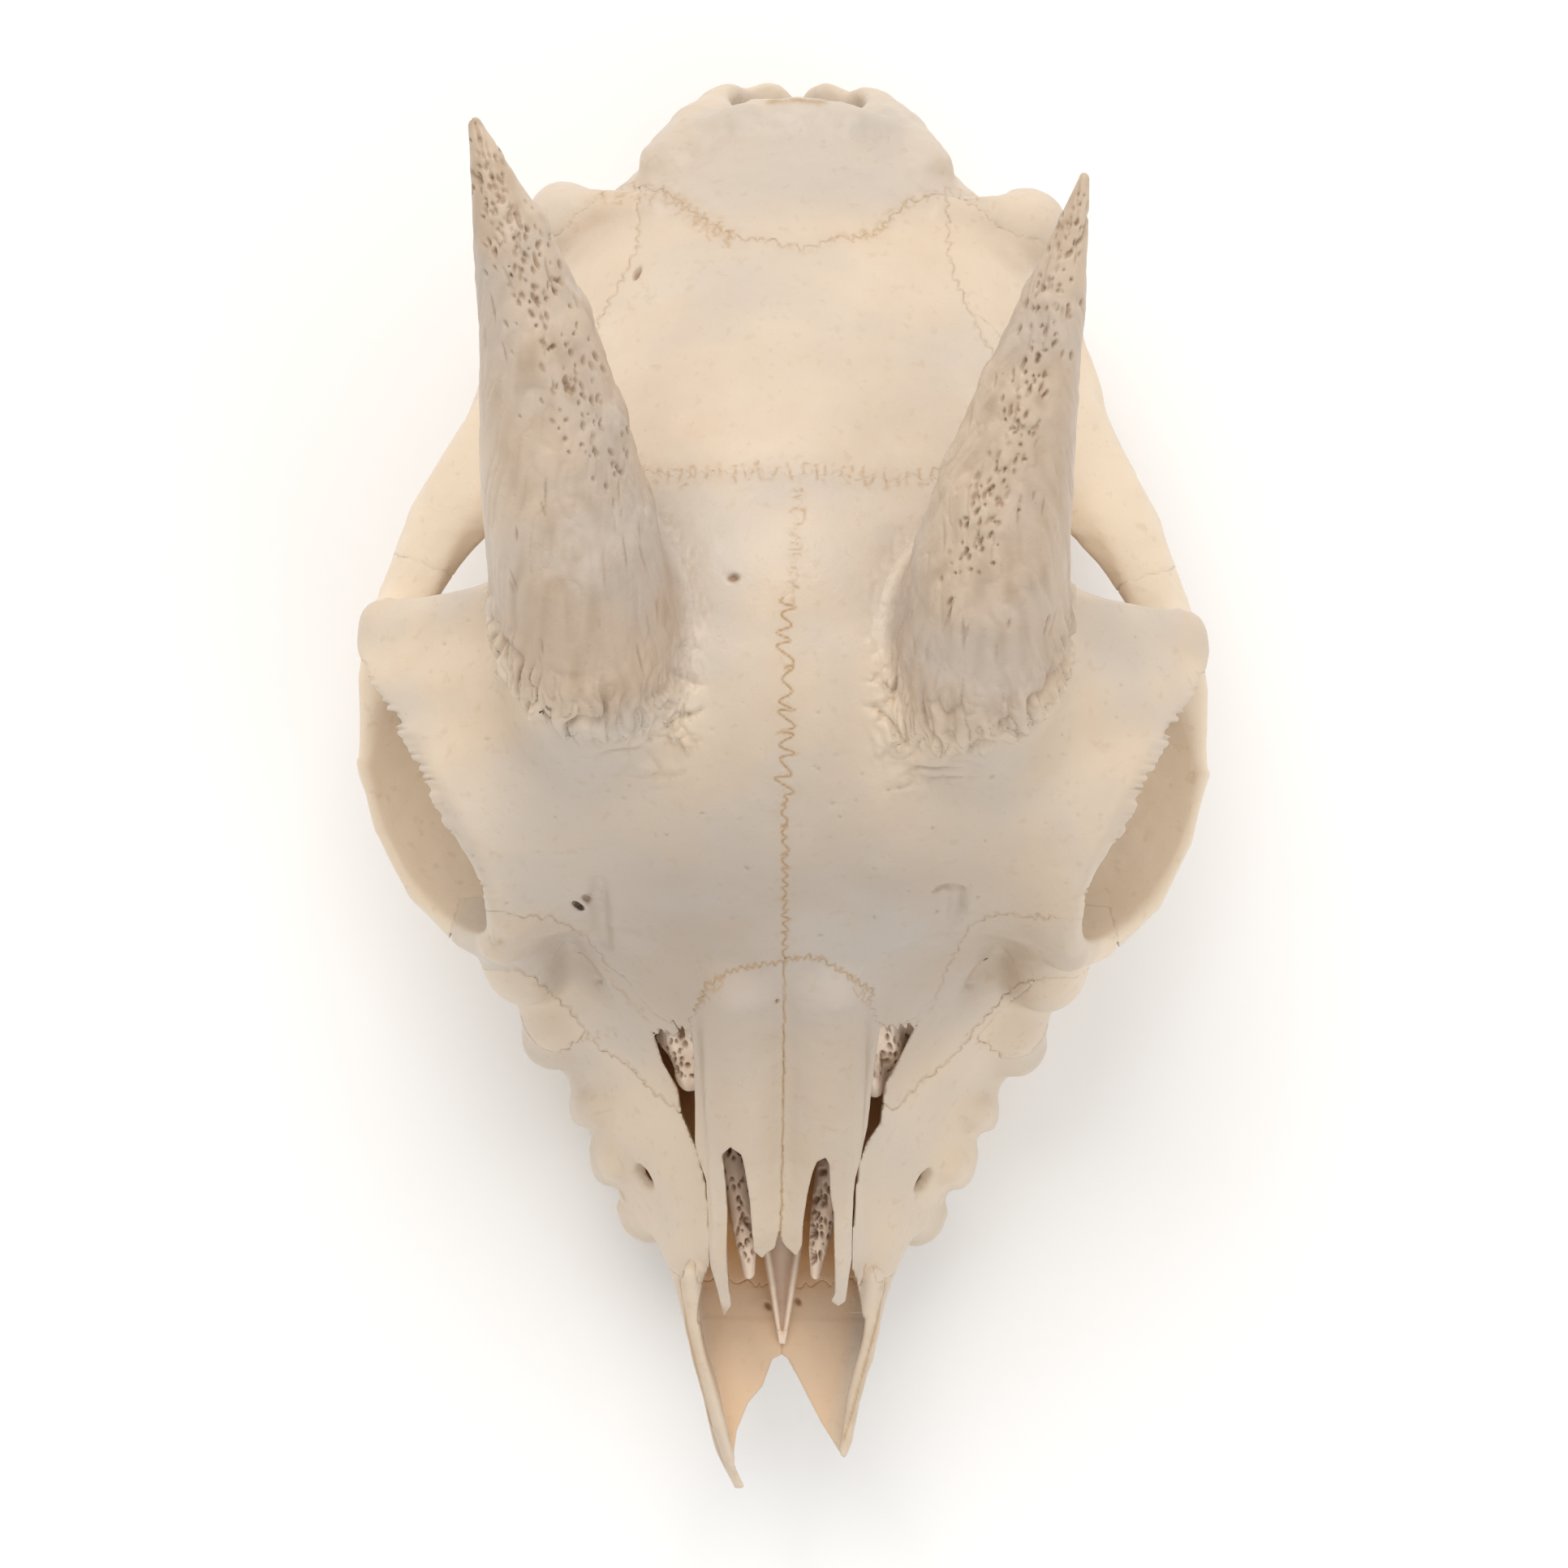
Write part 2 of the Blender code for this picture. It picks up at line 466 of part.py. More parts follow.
def model_half():
    """The left half of the skull in clay."""
    level, upright = (0, 0, 1), (1, 0, 0)
    clay = Clay((0.0, -98.0, -4.0), (62.0, 98.0, 126.0))
    clay.add(body_form(), 1.0)
    clay.add(brow_form(), 4.0)
    clay.add(orbit_form(ORBIT_WALL, cup=True), 4.0)
    clay.add(rod(LOWER_RIM), 3.0)
    clay.add(rod(CHEEK, (1.0, 0.0, 0.3), 0.8), 4.0)
    clay.add(ball(*ORBIT_FRONT), 4.0)
    clay.add(rod(ARCH, (0.72, 0.42, 0.55), 0.42), 2.5)
    clay.add(rod(ARCH_SHELF, (0.35, 0.2, 1.0), 0.4), 3.0)
    clay.add(rod(ARCH_ROOT, level, 0.7), 4.0)
    clay.add(rod(REAR_BAR, (1.0, -0.2, 0.0), 0.65), 2.5)
    clay.add(rod(HORN_SHELF), 3.0)
    clay.add(rod(GUM_RIDGE), 4.0)
    clay.add(rod(BASE_BEAM, level, 0.7), 4.0)
    clay.add(rod(THROAT_PLATE, upright, 0.32), 2.0)
    clay.add(ball(*BULLA), 3.0)
    clay.add(rod(EAR_TUBE), 3.0)
    clay.add(ball(*JAW_SOCKET), 3.0)
    clay.add(ball(*MASTOID), 3.5)
    clay.add(rod(NAPE_CREST), 3.0)
    clay.add(rod(CONDYLE), 2.5)
    clay.add(rod(JUGULAR, (0.5, 1, 0), 0.62), 4.0)
    clay.add(rod(NAPE_RIDGE), 3.0)
    clay.cut(orbit_form(), 1.6)
    clay.cut(ball(*FORAMEN_MAGNUM), 1.6)
    clay.cut(rod(THROAT, level, 0.85), 1.5)
    clay.cut(rod(PALATE, level, 0.62), 2.0)
    clay.cut(nose_hollow_form(), 0.8)
    clay.cut(channel_form(), 0.8)
    clay.cut(rod(EAR_CANAL), 0.8)
    clay.cut(rod(FACE_CANAL), 0.8)
    clay.cut(ball(*TEAR_PIT), 2.5)
    clay.add(rod(CONCHA, (1.0, 0, 0.1), 0.62), 1.0)
    clay.add(rod(VOMER, upright, 0.6), 0.8)
    return clay


def model_skull(folder):
    """The whole skull with its horn cores, as one closed mesh of few faces."""
    whole = model_half().mirrored()
    for path in (HORN_LEFT, HORN_RIGHT):
        deep = [(x, y, z, radius * HORN_DEPTH) for x, y, z, radius in path]
        whole.add(rod(deep, (math.copysign(1.0, path[0][0]), 0.15, 0.0), 1 / HORN_DEPTH), 3.0)
    skull = whole.skin("skull", folder)
    fewer = skull.modifiers.new("fewer", "DECIMATE")
    fewer.ratio = TRIANGLES / (2 * len(skull.data.polygons))
    apply_modifiers(skull)
    floor = prism(((-80, -99), (80, -99), (80, 99), (-80, 99)), 2, (FLOOR - 9, FLOOR), folder)
    combine(skull, "DIFFERENCE", [floor])
    remove_objects([floor])
    return skull


def apply_modifiers(thing):
    """Turns an object with its modifiers into a plain mesh."""
    graph = bpy.context.evaluated_depsgraph_get()
    mesh = bpy.data.meshes.new_from_object(thing.evaluated_get(graph))
    thing.modifiers.clear()
    thing.data = mesh


def combine(thing, operation, others):
    """Boolean of an object with the objects of a cutter list, applied."""
    for other in others:
        step = thing.modifiers.new(operation.lower(), "BOOLEAN")
        step.operation = operation
        step.solver = SOLVER
        step.object = other
    apply_modifiers(thing)


def shifted(outline, amount):
    """An outline moved outwards, to the right of each edge when it runs counterclockwise."""
    points = np.array(outline, float)
    area = np.sum(points[:, 0] * np.roll(points[:, 1], -1) - np.roll(points[:, 0], -1) * points[:, 1])
    if area < 0:
        points = points[::-1]
    edges = np.roll(points, -1, axis=0) - points
    normals = np.stack((edges[:, 1], -edges[:, 0]), axis=1)
    normals /= np.linalg.norm(normals, axis=1)[:, None]
    corners = normals + np.roll(normals, 1, axis=0)
    corners /= np.maximum((corners * normals).sum(axis=1), 0.5)[:, None]
    return points + corners * amount


def prism(outline, axis, span, folder):
    """A closed block with the outline seen along one axis, between two levels on it."""
    form = bmesh.new()
    corners = []
    for u, v in outline:
        place = [u, v]
        place.insert(axis, span[0])
        corners.append(form.verts.new(Vector(place) * MM))
    face = form.faces.new(corners)
    grown = bmesh.ops.extrude_face_region(form, geom=[face])
    away = Vector((0, 0, 0))
    away[axis] = (span[1] - span[0]) * MM
    moved = [v for v in grown["geom"] if isinstance(v, bmesh.types.BMVert)]
    bmesh.ops.translate(form, verts=moved, vec=away)
    bmesh.ops.recalc_face_normals(form, faces=form.faces)
    mesh = bpy.data.meshes.new("block")
    form.to_mesh(mesh)
    form.free()
    return hidden(new_object("block", mesh, folder))


def hidden(thing):
    thing.hide_render = True
    thing.display_type = "WIRE"
    return thing


def territory(blocks, amount, side, folder):
    """The room that one bone takes: blocks, each with an outline from above and from the side."""
    made = []
    for above, beside in blocks:
        above = [(x * side, y) for x, y in above]
        block = prism(shifted(above, amount), 2, (-9.0, 140.0), folder)
        if beside:
            wall = prism(shifted(beside, amount), 0, (-80.0, 80.0), folder)
            combine(block, "INTERSECT", [wall])
            remove_objects([wall])
        made.append(block)
    if len(made) > 1:
        combine(made[0], "UNION", made[1:])
        remove_objects(made[1:])
    return made[0]


def loft(rings, name, folder):
    """A closed block through rings that all have the same number of points."""
    form = bmesh.new()
    loops = [[form.verts.new(Vector(point) * MM) for point in ring] for ring in rings]
    for low, high in zip(loops[:-1], loops[1:]):
        for i in range(len(low)):
            j = (i + 1) % len(low)
            form.faces.new((low[i], low[j], high[j]))
            form.faces.new((low[i], high[j], high[i]))
    form.faces.new(loops[0])
    form.faces.new(loops[-1])
    bmesh.ops.recalc_face_normals(form, faces=form.faces)
    mesh = bpy.data.meshes.new(name)
    form.to_mesh(mesh)
    form.free()
    return hidden(new_object(name, mesh, folder))


def horn_territory(path, amount, folder):
    """The room of a horn core: oval rings along its path, cut off square at its root."""
    points = [Vector(p[:3]) for p in path]
    aims = [(b - a).normalized() for a, b in zip(points[:-1], points[1:])]
    points[0] = points[0] + aims[0] * (HORN_ROOT - amount)
    points.append(points[-1] + aims[-1] * 4.0)
    aims += [aims[-1]] * 2
    radii = [p[3] for p in path] + [path[-1][3]]
    # The second ring would cross the first one behind the horn.
    for values in (points, aims, radii):
        values.pop(1)
    outward = Vector((math.copysign(1.0, path[0][0]), 0.15, 0.0)).normalized()
    rings = []
    for place, aim, radius in zip(points, aims, radii):
        across = (outward - aim * outward.dot(aim)).normalized()
        deep = aim.cross(across)
        ring = []
        for i in range(HORN_SIDES):
            turn = 2 * math.pi * i / HORN_SIDES
            spread = across * math.cos(turn) * (radius + HORN_FLARE + amount)
            reach = deep * math.sin(turn) * (radius * HORN_DEPTH + HORN_FLARE + amount)
            ring.append(place + spread + reach)
        rings.append(ring)
    return loft(rings, "horn_room", folder)


def remove_objects(things):
    for thing in things:
        bpy.data.objects.remove(thing, do_unlink=True)


def remove_flaps(form):
    """Takes out pairs of triangles that lie back to back on the same three corners."""
    seen = {}
    flaps = []
    for face in form.faces:
        corners = frozenset(face.verts)
        if corners in seen:
            flaps += [face, seen[corners]]
        seen[corners] = face
    bmesh.ops.delete(form, geom=flaps, context="FACES")


def drop_small_shells(form):
    """Leaves only the closed surface that holds the most room."""
    seen = set()
    shells = []
    for start in form.faces:
        if start in seen:
            continue
        seen.add(start)
        shell = [start]
        for face in shell:
            pairs = [edge.link_faces for edge in face.edges if len(edge.link_faces) == 2]
            for other in [f for pair in pairs for f in pair if f not in seen]:
                seen.add(other)
                shell.append(other)
        room = sum(f.calc_center_median().dot(f.normal) * f.calc_area() for f in shell)
        shells.append((room, shell))
    largest = set(max(shells, key=lambda shell: shell[0])[1])
    bmesh.ops.delete(form, geom=[f for f in form.faces if f not in largest], context="FACES")


def keep_largest(thing):
    """One closed surface without slivers, flaps and loose bits."""
    form = bmesh.new()
    form.from_mesh(thing.data)
    drop_small_shells(form)
    plain = form.copy()
    bmesh.ops.remove_doubles(form, verts=form.verts, dist=SLIVER * MM)
    bmesh.ops.dissolve_degenerate(form, edges=form.edges, dist=SLIVER / 3 * MM)
    bmesh.ops.dissolve_limit(form, angle_limit=math.radians(FLAT_ANGLE), verts=form.verts, edges=form.edges)
    for version in (form, plain):
        bmesh.ops.triangulate(version, faces=version.faces)
        remove_flaps(version)
        drop_small_shells(version)
    kept = form if all(len(edge.link_faces) == 2 for edge in form.edges) else plain
    kept.to_mesh(thing.data)
    form.free()
    plain.free()


def tooth(place, heading, length, width, folder):
    """A cheek tooth: one or two lobes side by side, flat where it grinds."""
    waist = TOOTH_WAIST if length > TWO_LOBES_OVER else 0.0
    rings = []
    for level, swell in TOOTH_RINGS:
        ring = []
        for i in range(TOOTH_SIDES):
            turn = 2 * math.pi * i / TOOTH_SIDES
            c, s = math.cos(turn), math.sin(turn)
            along = 0.48 * length * math.copysign(abs(c) ** TOOTH_SQUARE, c)
            across = 0.5 * width * swell * math.copysign(abs(s) ** TOOTH_SQUARE, s) * (1.0 - waist * s ** 6)
            spot = Vector((across, along, level))
            spot.rotate(Matrix.Rotation(heading, 3, "Z"))
            ring.append(spot + Vector((*place, 0.0)))
        rings.append(ring)
    return loft(rings, "tooth", folder)


def tooth_row(side, folder):
    """The six cheek teeth of one side, one behind the other along the jaw."""
    line = np.array(TOOTH_LINE)
    at = line[0, 1]
    row = []
    for length, width in TEETH:
        middle = at + length / 2
        x = smooth_curve(line[:, 1], line[:, 0], middle)
        ahead = smooth_curve(line[:, 1], line[:, 0], middle + 1.0)
        heading = -math.atan2(ahead - x, 1.0) * side
        row.append(tooth((x * side, middle), heading, length, width, folder))
        at += length
    return row


def bone_material(name, colour):
    material = bpy.data.materials.new(name)
    material.use_nodes = True
    shader = material.node_tree.nodes["Principled BSDF"]
    shader.inputs["Base Color"].default_value = (*colour, 1.0)
    shader.inputs["Roughness"].default_value = 0.62
    shader.inputs["Metallic"].default_value = 0.0
    return material


remove_everything()
parts = new_collection("goat_skull")
cutters = new_collection("cutters")
rest = model_skull(parts)


def part_off(name, make_room, colour):
    """Takes one bone off the rest of the skull and leaves a thin gap around it."""
    inner = make_room(-SUTURE_GAP / 2)
    outer = make_room(SUTURE_GAP / 2)
    bone = new_object(name, rest.data.copy(), parts)
    combine(bone, "INTERSECT", [inner])
    combine(rest, "DIFFERENCE", [outer])
    remove_objects([inner, outer])
    keep_largest(bone)
    bone.data.materials.clear()
    bone.data.materials.append(bone_material(name, colour))
    return bone


for name, path in (("horn_core_left", HORN_LEFT), ("horn_core_right", HORN_RIGHT)):
    part_off(name, lambda amount, path=path: horn_territory(path, amount, cutters), HORN_COLOUR)

for above, beside, sides in OPENINGS:
    for side in sides:
        hole = territory([(above, beside)], 0.0, side, cutters)
        combine(rest, "DIFFERENCE", [hole])
        remove_objects([hole])

for bone, (blocks, colour) in BONES.items():
    if bone in MIDDLE_BONES:
        both = [([(x * side, y) for x, y in above], beside) for above, beside in blocks for side in (1, -1)]
        part_off(bone, lambda amount: territory(both, amount, 1, cutters), colour)
        continue
    for ending, side in (("left", 1), ("right", -1)):
        name = bone + "_" + ending
        made = part_off(name, lambda amount: territory(blocks, amount, side, cutters), colour)
        if bone == "maxilla":
            teeth = tooth_row(side, cutters)
            combine(made, "UNION", teeth)
            remove_objects(teeth)
            keep_largest(made)

keep_largest(rest)
rest.name = "sphenoid"
rest.data.materials.clear()
rest.data.materials.append(bone_material("sphenoid", BASE_COLOUR))
corners = np.array([v.co for thing in parts.objects for v in thing.data.vertices])
middle = (corners.min(axis=0) + corners.max(axis=0)) / 2
for thing in parts.objects:
    # The skull's box is centred over the origin.
    thing.data.transform(Matrix.Translation((-middle[0], -middle[1], 0.0)))
    thing.data.shade_smooth()
    thing.data.set_sharp_from_angle(angle=math.radians(40))
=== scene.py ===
import math

import bmesh
import bpy
import numpy as np
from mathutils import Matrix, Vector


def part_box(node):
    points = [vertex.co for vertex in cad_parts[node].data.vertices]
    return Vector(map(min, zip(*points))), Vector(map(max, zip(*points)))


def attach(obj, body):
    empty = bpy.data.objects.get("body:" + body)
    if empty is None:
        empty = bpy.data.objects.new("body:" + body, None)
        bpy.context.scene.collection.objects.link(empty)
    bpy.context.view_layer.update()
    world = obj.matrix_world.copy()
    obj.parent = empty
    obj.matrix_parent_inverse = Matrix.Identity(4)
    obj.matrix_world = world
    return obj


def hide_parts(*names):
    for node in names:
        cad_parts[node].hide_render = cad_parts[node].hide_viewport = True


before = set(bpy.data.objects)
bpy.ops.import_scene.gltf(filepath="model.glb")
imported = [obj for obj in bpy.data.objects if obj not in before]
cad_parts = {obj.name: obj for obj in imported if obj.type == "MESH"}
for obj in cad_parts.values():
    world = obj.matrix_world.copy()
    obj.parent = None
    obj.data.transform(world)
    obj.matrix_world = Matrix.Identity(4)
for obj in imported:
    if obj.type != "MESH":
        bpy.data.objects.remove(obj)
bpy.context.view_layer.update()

import openvdb
from mathutils import Vector

# The camera hangs over the skull and looks straight down on it, a little turned, as the
# photograph was taken. Lengths on the skull are millimetres in all that follows.
MM = 0.001
CAMERA_HEIGHT = 1.46
CAMERA_ASIDE = -0.0003
CAMERA_TURN = 0.77
# At this distance from the lens the view is this wide.
VIEW_AWAY = 1400
VIEW_WIDE = 206.7
scene = bpy.context.scene
lens = bpy.data.cameras.new("camera")
lens.sensor_width = 36.0
lens.lens = lens.sensor_width / (VIEW_WIDE / VIEW_AWAY)
camera = bpy.data.objects.new("camera", lens)
camera.location = (CAMERA_ASIDE, 0.0, CAMERA_HEIGHT)
camera.rotation_euler = (0.0, 0.0, math.radians(CAMERA_TURN))
scene.collection.objects.link(camera)
scene.camera = camera

# Soft studio light: a broad panel high behind the nape as the key, a wide one over the
# nose as fill, and a bright even room. Each panel has a place, width, power and colour.
LIGHTS = {
    "key": ((-0.12, 0.85, 1.15), 1.0, 9.5, (1.0, 0.975, 0.94)),
    "fill": ((0.60, -0.60, 1.00), 1.0, 2.2, (0.92, 0.96, 1.0)),
}
LIT_SPOT = Vector((0, 0, 0.05))
ROOM_POWER = 0.76
for name, (place, wide, power, colour) in LIGHTS.items():
    panel = bpy.data.lights.new(name, "AREA")
    panel.shape = "DISK"
    panel.size = wide
    panel.energy = power
    panel.color = colour
    lamp = bpy.data.objects.new(name, panel)
    lamp.location = place
    lamp.rotation_euler = (LIT_SPOT - Vector(place)).to_track_quat("-Z", "Y").to_euler()
    scene.collection.objects.link(lamp)
room = bpy.data.worlds.new("room")
room.use_nodes = True
room.node_tree.nodes["Background"].inputs["Color"].default_value = (1.0, 0.985, 0.965, 1.0)
room.node_tree.nodes["Background"].inputs["Strength"].default_value = ROOM_POWER
scene.world = room
scene.view_settings.view_transform = "Standard"

# A plain floor of matt pale paper, on which the skull rests on its cheek teeth and the two
# jugular processes. It is so wide that no edge of it shows.
FLOOR_REACH = 3.0
floor_mesh = bpy.data.meshes.new("floor")
corners = [(-FLOOR_REACH, -FLOOR_REACH, 0), (FLOOR_REACH, -FLOOR_REACH, 0),
           (FLOOR_REACH, FLOOR_REACH, 0), (-FLOOR_REACH, FLOOR_REACH, 0)]
floor_mesh.from_pydata(corners, [], [(0, 1, 2, 3)])
floor = bpy.data.objects.new("floor", floor_mesh)
scene.collection.objects.link(floor)
paper = bpy.data.materials.new("pale paper")
paper.use_nodes = True
paper.node_tree.nodes["Principled BSDF"].inputs["Base Color"].default_value = (0.98, 0.98, 0.98, 1.0)
paper.node_tree.nodes["Principled BSDF"].inputs["Roughness"].default_value = 0.9
floor_mesh.materials.append(paper)


# The skull before it is parted: grown bone, modelled as one body of clay. The clay is a
# block of distances to the surface. Soft forms are added to it and hollows are cut out.
FAR = 6.0
SKULL_LENGTH = 189.0
CROWN_HEIGHT = 92.0
CORONAL_Y = 40.0
NOSE_FLOOR = 24.6


def smooth_curve(places, values, at):
    """Reads a smooth curve through the values at the given places."""
    places = np.asarray(places, np.float64)
    values = np.asarray(values, np.float64)
    slopes = np.gradient(values, places, axis=0)
    i = np.clip(np.searchsorted(places, at) - 1, 0, len(places) - 2)
    step = places[i + 1] - places[i]
    t = np.clip((at - places[i]) / step, 0.0, 1.0)
    start = values[i] * (1 + 2 * t) * (1 - t) ** 2 + slopes[i] * step * t * (1 - t) ** 2
    end = values[i + 1] * t ** 2 * (3 - 2 * t) + slopes[i + 1] * step * t ** 2 * (t - 1)
    return start + end


def smooth_min(a, b, blend):
    """The lesser of two distances, rounded where they come within the blend of each other."""
    near = np.maximum(blend - np.abs(a - b), 0.0) / blend
    return np.minimum(a, b) - near * near * blend * 0.25


def plain_mesh(name, points, faces):
    """A mesh from corner places in millimetres and faces that all have the same corners."""
    mesh = bpy.data.meshes.new(name)
    mesh.vertices.add(len(points))
    mesh.vertices.foreach_set("co", (np.asarray(points, np.float32) * MM).ravel())
    mesh.loops.add(faces.size)
    mesh.loops.foreach_set("vertex_index", faces.ravel().astype(np.int32))
    mesh.polygons.add(len(faces))
    mesh.polygons.foreach_set("loop_start", np.arange(0, faces.size, faces.shape[1], dtype=np.int32))
    mesh.update(calc_edges=True)
    mesh.validate()
    return mesh


class Clay:
    """A block of distances to the surface of what has been modelled so far."""

    def __init__(self, low, high, cell):
        self.cell = cell
        self.axes = [np.arange(a, b + cell, cell, dtype=np.float32) for a, b in zip(low, high)]
        self.depth = np.full([len(axis) for axis in self.axes], FAR, np.float32)
        self.uncut, self.walls = None, None

    def window(self, low, high, margin):
        part = tuple(
            slice(np.searchsorted(axis, a - margin), np.searchsorted(axis, b + margin))
            for axis, a, b in zip(self.axes, low, high)
        )
        spans = [axis[s] for axis, s in zip(self.axes, part)]
        return part, np.meshgrid(*spans, indexing="ij", sparse=True)

    def add(self, form, blend=1.0):
        low, high, distance = form
        part, place = self.window(low, high, blend + self.cell)
        if self.depth[part].size:
            self.depth[part] = smooth_min(self.depth[part], distance(*place), blend)

    def cut(self, form, blend=1.0):
        low, high, distance = form
        part, place = self.window(low, high, blend + self.cell)
        if self.depth[part].size:
            self.depth[part] = -smooth_min(-self.depth[part], distance(*place), blend)

    def cells(self, points):
        return tuple(np.clip(((points[:, i] - self.axes[i][0]) / self.cell).round().astype(int), 2,
                             len(self.axes[i]) - 3) for i in range(3))

    def way_out(self, points):
        """Directions that lead straight out of the skull before it was parted."""
        at = self.cells(points)
        steps = 2 * np.eye(3, dtype=int)
        slope = np.stack([self.uncut[tuple(a + s for a, s in zip(at, step))].astype(np.float64)
                          - self.uncut[tuple(a - s for a, s in zip(at, step))] for step in steps], axis=1)
        return slope / (np.linalg.norm(slope, axis=1)[:, None] + 1e-6)

    def mirrored(self):
        """The whole skull from its left half, whose first slice lies on the middle plane."""
        whole = Clay((0, 0, 0), (0, 0, 0), self.cell)
        across = self.axes[0]
        whole.axes = [np.concatenate((-across[:0:-1], across)), self.axes[1], self.axes[2]]
        whole.depth = np.concatenate((self.depth[:0:-1], self.depth), axis=0)
        return whole

    def skin(self):
        """Corners and faces of the surface of all that the block holds."""
        grid = openvdb.FloatGrid(FAR)
        grid.copyFromArray(np.ascontiguousarray(np.clip(self.depth, -FAR, FAR)))
        points, quads = grid.convertToQuads()
        return points * self.cell + [axis[0] for axis in self.axes], np.asarray(quads)


def ball(centre, radii, turn=(0.0, 0.0, 0.0)):
    """An ellipsoid, turned by three angles in degrees."""
    centre = np.array(centre, float)
    radii = np.array(radii, float) * np.ones(3)
    reach = radii.max() if any(turn) else radii
    frame_of = np.eye(3)
    for axis, degrees in enumerate(turn):
        c, s = math.cos(math.radians(degrees)), math.sin(math.radians(degrees))
        j, k = (axis + 1) % 3, (axis + 2) % 3
        step = np.eye(3)
        step[j, j], step[j, k], step[k, j], step[k, k] = c, -s, s, c
        frame_of = step @ frame_of

    def distance(x, y, z):
        p = (x - centre[0], y - centre[1], z - centre[2])
        q = [frame_of[0, i] * p[0] + frame_of[1, i] * p[1] + frame_of[2, i] * p[2] for i in range(3)]
        near = np.sqrt(sum((q[i] / radii[i]) ** 2 for i in range(3))) + 1e-6
        steep = np.sqrt(sum((q[i] / radii[i] ** 2) ** 2 for i in range(3))) + 1e-6
        return near * (near - 1) / steep

    return centre - reach, centre + reach, distance


def rod(path, flat=(0.0, 0.0, 1.0), thin=1.0):
    """A tapering rod along points of x, y, z, radius, thinner along one direction."""
    path = np.array(path, float)
    flat = np.array(flat, float) / np.linalg.norm(flat)
    squeeze = 1.0 / thin
    reach = path[:, 3:4]

    def distance(x, y, z):
        nearest = None
        for a, b in zip(path[:-1], path[1:]):
            along = b[:3] - a[:3]
            p = (x - a[0], y - a[1], z - a[2])
            t = (p[0] * along[0] + p[1] * along[1] + p[2] * along[2]) / along.dot(along)
            t = np.clip(t, 0.0, 1.0)
            q = [p[i] - t * along[i] for i in range(3)]
            across = q[0] * flat[0] + q[1] * flat[1] + q[2] * flat[2]
            extra = (squeeze * squeeze - 1.0) * across * across
            size = a[3] + t * (b[3] - a[3])
            d = np.sqrt(q[0] ** 2 + q[1] ** 2 + q[2] ** 2 + extra) - size
            nearest = d if nearest is None else np.minimum(nearest, d)
        return nearest

    return (path[:, :3] - reach).min(axis=0), (path[:, :3] + reach).max(axis=0), distance


# Braincase, face and nose as one long body, a loft through cross-sections from nose to
# nape: place, half width, lowest, widest and highest level, squareness below and above.
BODY = (
    (-SKULL_LENGTH / 2 - 0.8, 7.0, 22.8, 24.8, 27.0, 2.0, 2.0),
    (-90.0, 9.4, 21.8, 25.0, 28.4, 2.0, 2.0),
    (-82.0, 11.0, 20.5, 25.5, 31.5, 2.2, 1.8),
    (-73.0, 13.2, 19.5, 26.0, 36.0, 2.2, 1.7),
    (-65.0, 15.6, 18.5, 26.5, 40.5, 2.4, 1.7),
    (-58.0, 19.6, 15.5, 23.0, 45.0, 2.8, 1.5),
    (-50.0, 25.2, 13.5, 21.0, 49.8, 3.6, 1.35),
    (-40.0, 28.6, 13.5, 24.0, 56.6, 3.6, 1.32),
    (-31.0, 33.6, 14.0, 29.0, 64.0, 2.6, 1.35),
    (-22.0, 34.0, 14.0, 37.0, 71.0, 2.2, 1.6),
    (-12.0, 29.0, 15.0, 50.0, 78.5, 2.0, 2.3),
    (-2.0, 25.0, 18.0, 62.0, 85.0, 1.7, 2.5),
    (8.0, 23.5, 22.0, 64.0, 90.0, 1.7, 2.6),
    (18.0, 26.5, 23.0, 62.0, CROWN_HEIGHT, 1.8, 2.5),
    (28.0, 29.5, 22.0, 56.0, 91.3, 1.9, 2.4),
    (CORONAL_Y, 32.0, 21.0, 50.0, 86.0, 2.0, 2.3),
    (55.0, 33.0, 20.0, 45.0, 75.0, 2.1, 2.2),
    (68.0, 32.0, 20.0, 41.0, 61.8, 2.1, 2.3),
    (77.0, 26.5, 20.5, 37.0, 54.2, 2.1, 2.2),
    (84.0, 18.5, 21.5, 33.0, 47.8, 2.1, 2.1),
    (90.0, 10.5, 24.0, 30.0, 41.0, 2.0, 2.0),
)
BODY_COLUMNS = np.array(BODY)


def roof_level(y):
    """How high the long body's back lies at a place along Y."""
    return smooth_curve(BODY_COLUMNS[:, 0], BODY_COLUMNS[:, 4], y)


def body_form():
    table = BODY_COLUMNS
    places = table[:, 0]

    def distance(x, y, z):
        row = [smooth_curve(places, table[:, i], y).astype(np.float32) for i in range(1, 7)]
        half, lowest, wide, high, under, over = row
        rise = z - wide
        above = rise > 0
        n = np.where(above, over, under)
        tall = np.where(above, high - wide, wide - lowest)
        away = np.sqrt(x * x + rise * rise) + 1e-4
        across, up = np.abs(x) / away + 1e-5, np.abs(rise) / away + 1e-5
        edge = ((across / half) ** n + (up / tall) ** n) ** (-1.0 / n)
        side = (away - edge) * 0.9
        return np.maximum(np.maximum(side, places[0] - y), y - places[-1])

    low = (-table[:, 1].max(), places[0], table[:, 2].min())
    high = (table[:, 1].max(), places[-1], table[:, 4].max())
    return low, high, distance


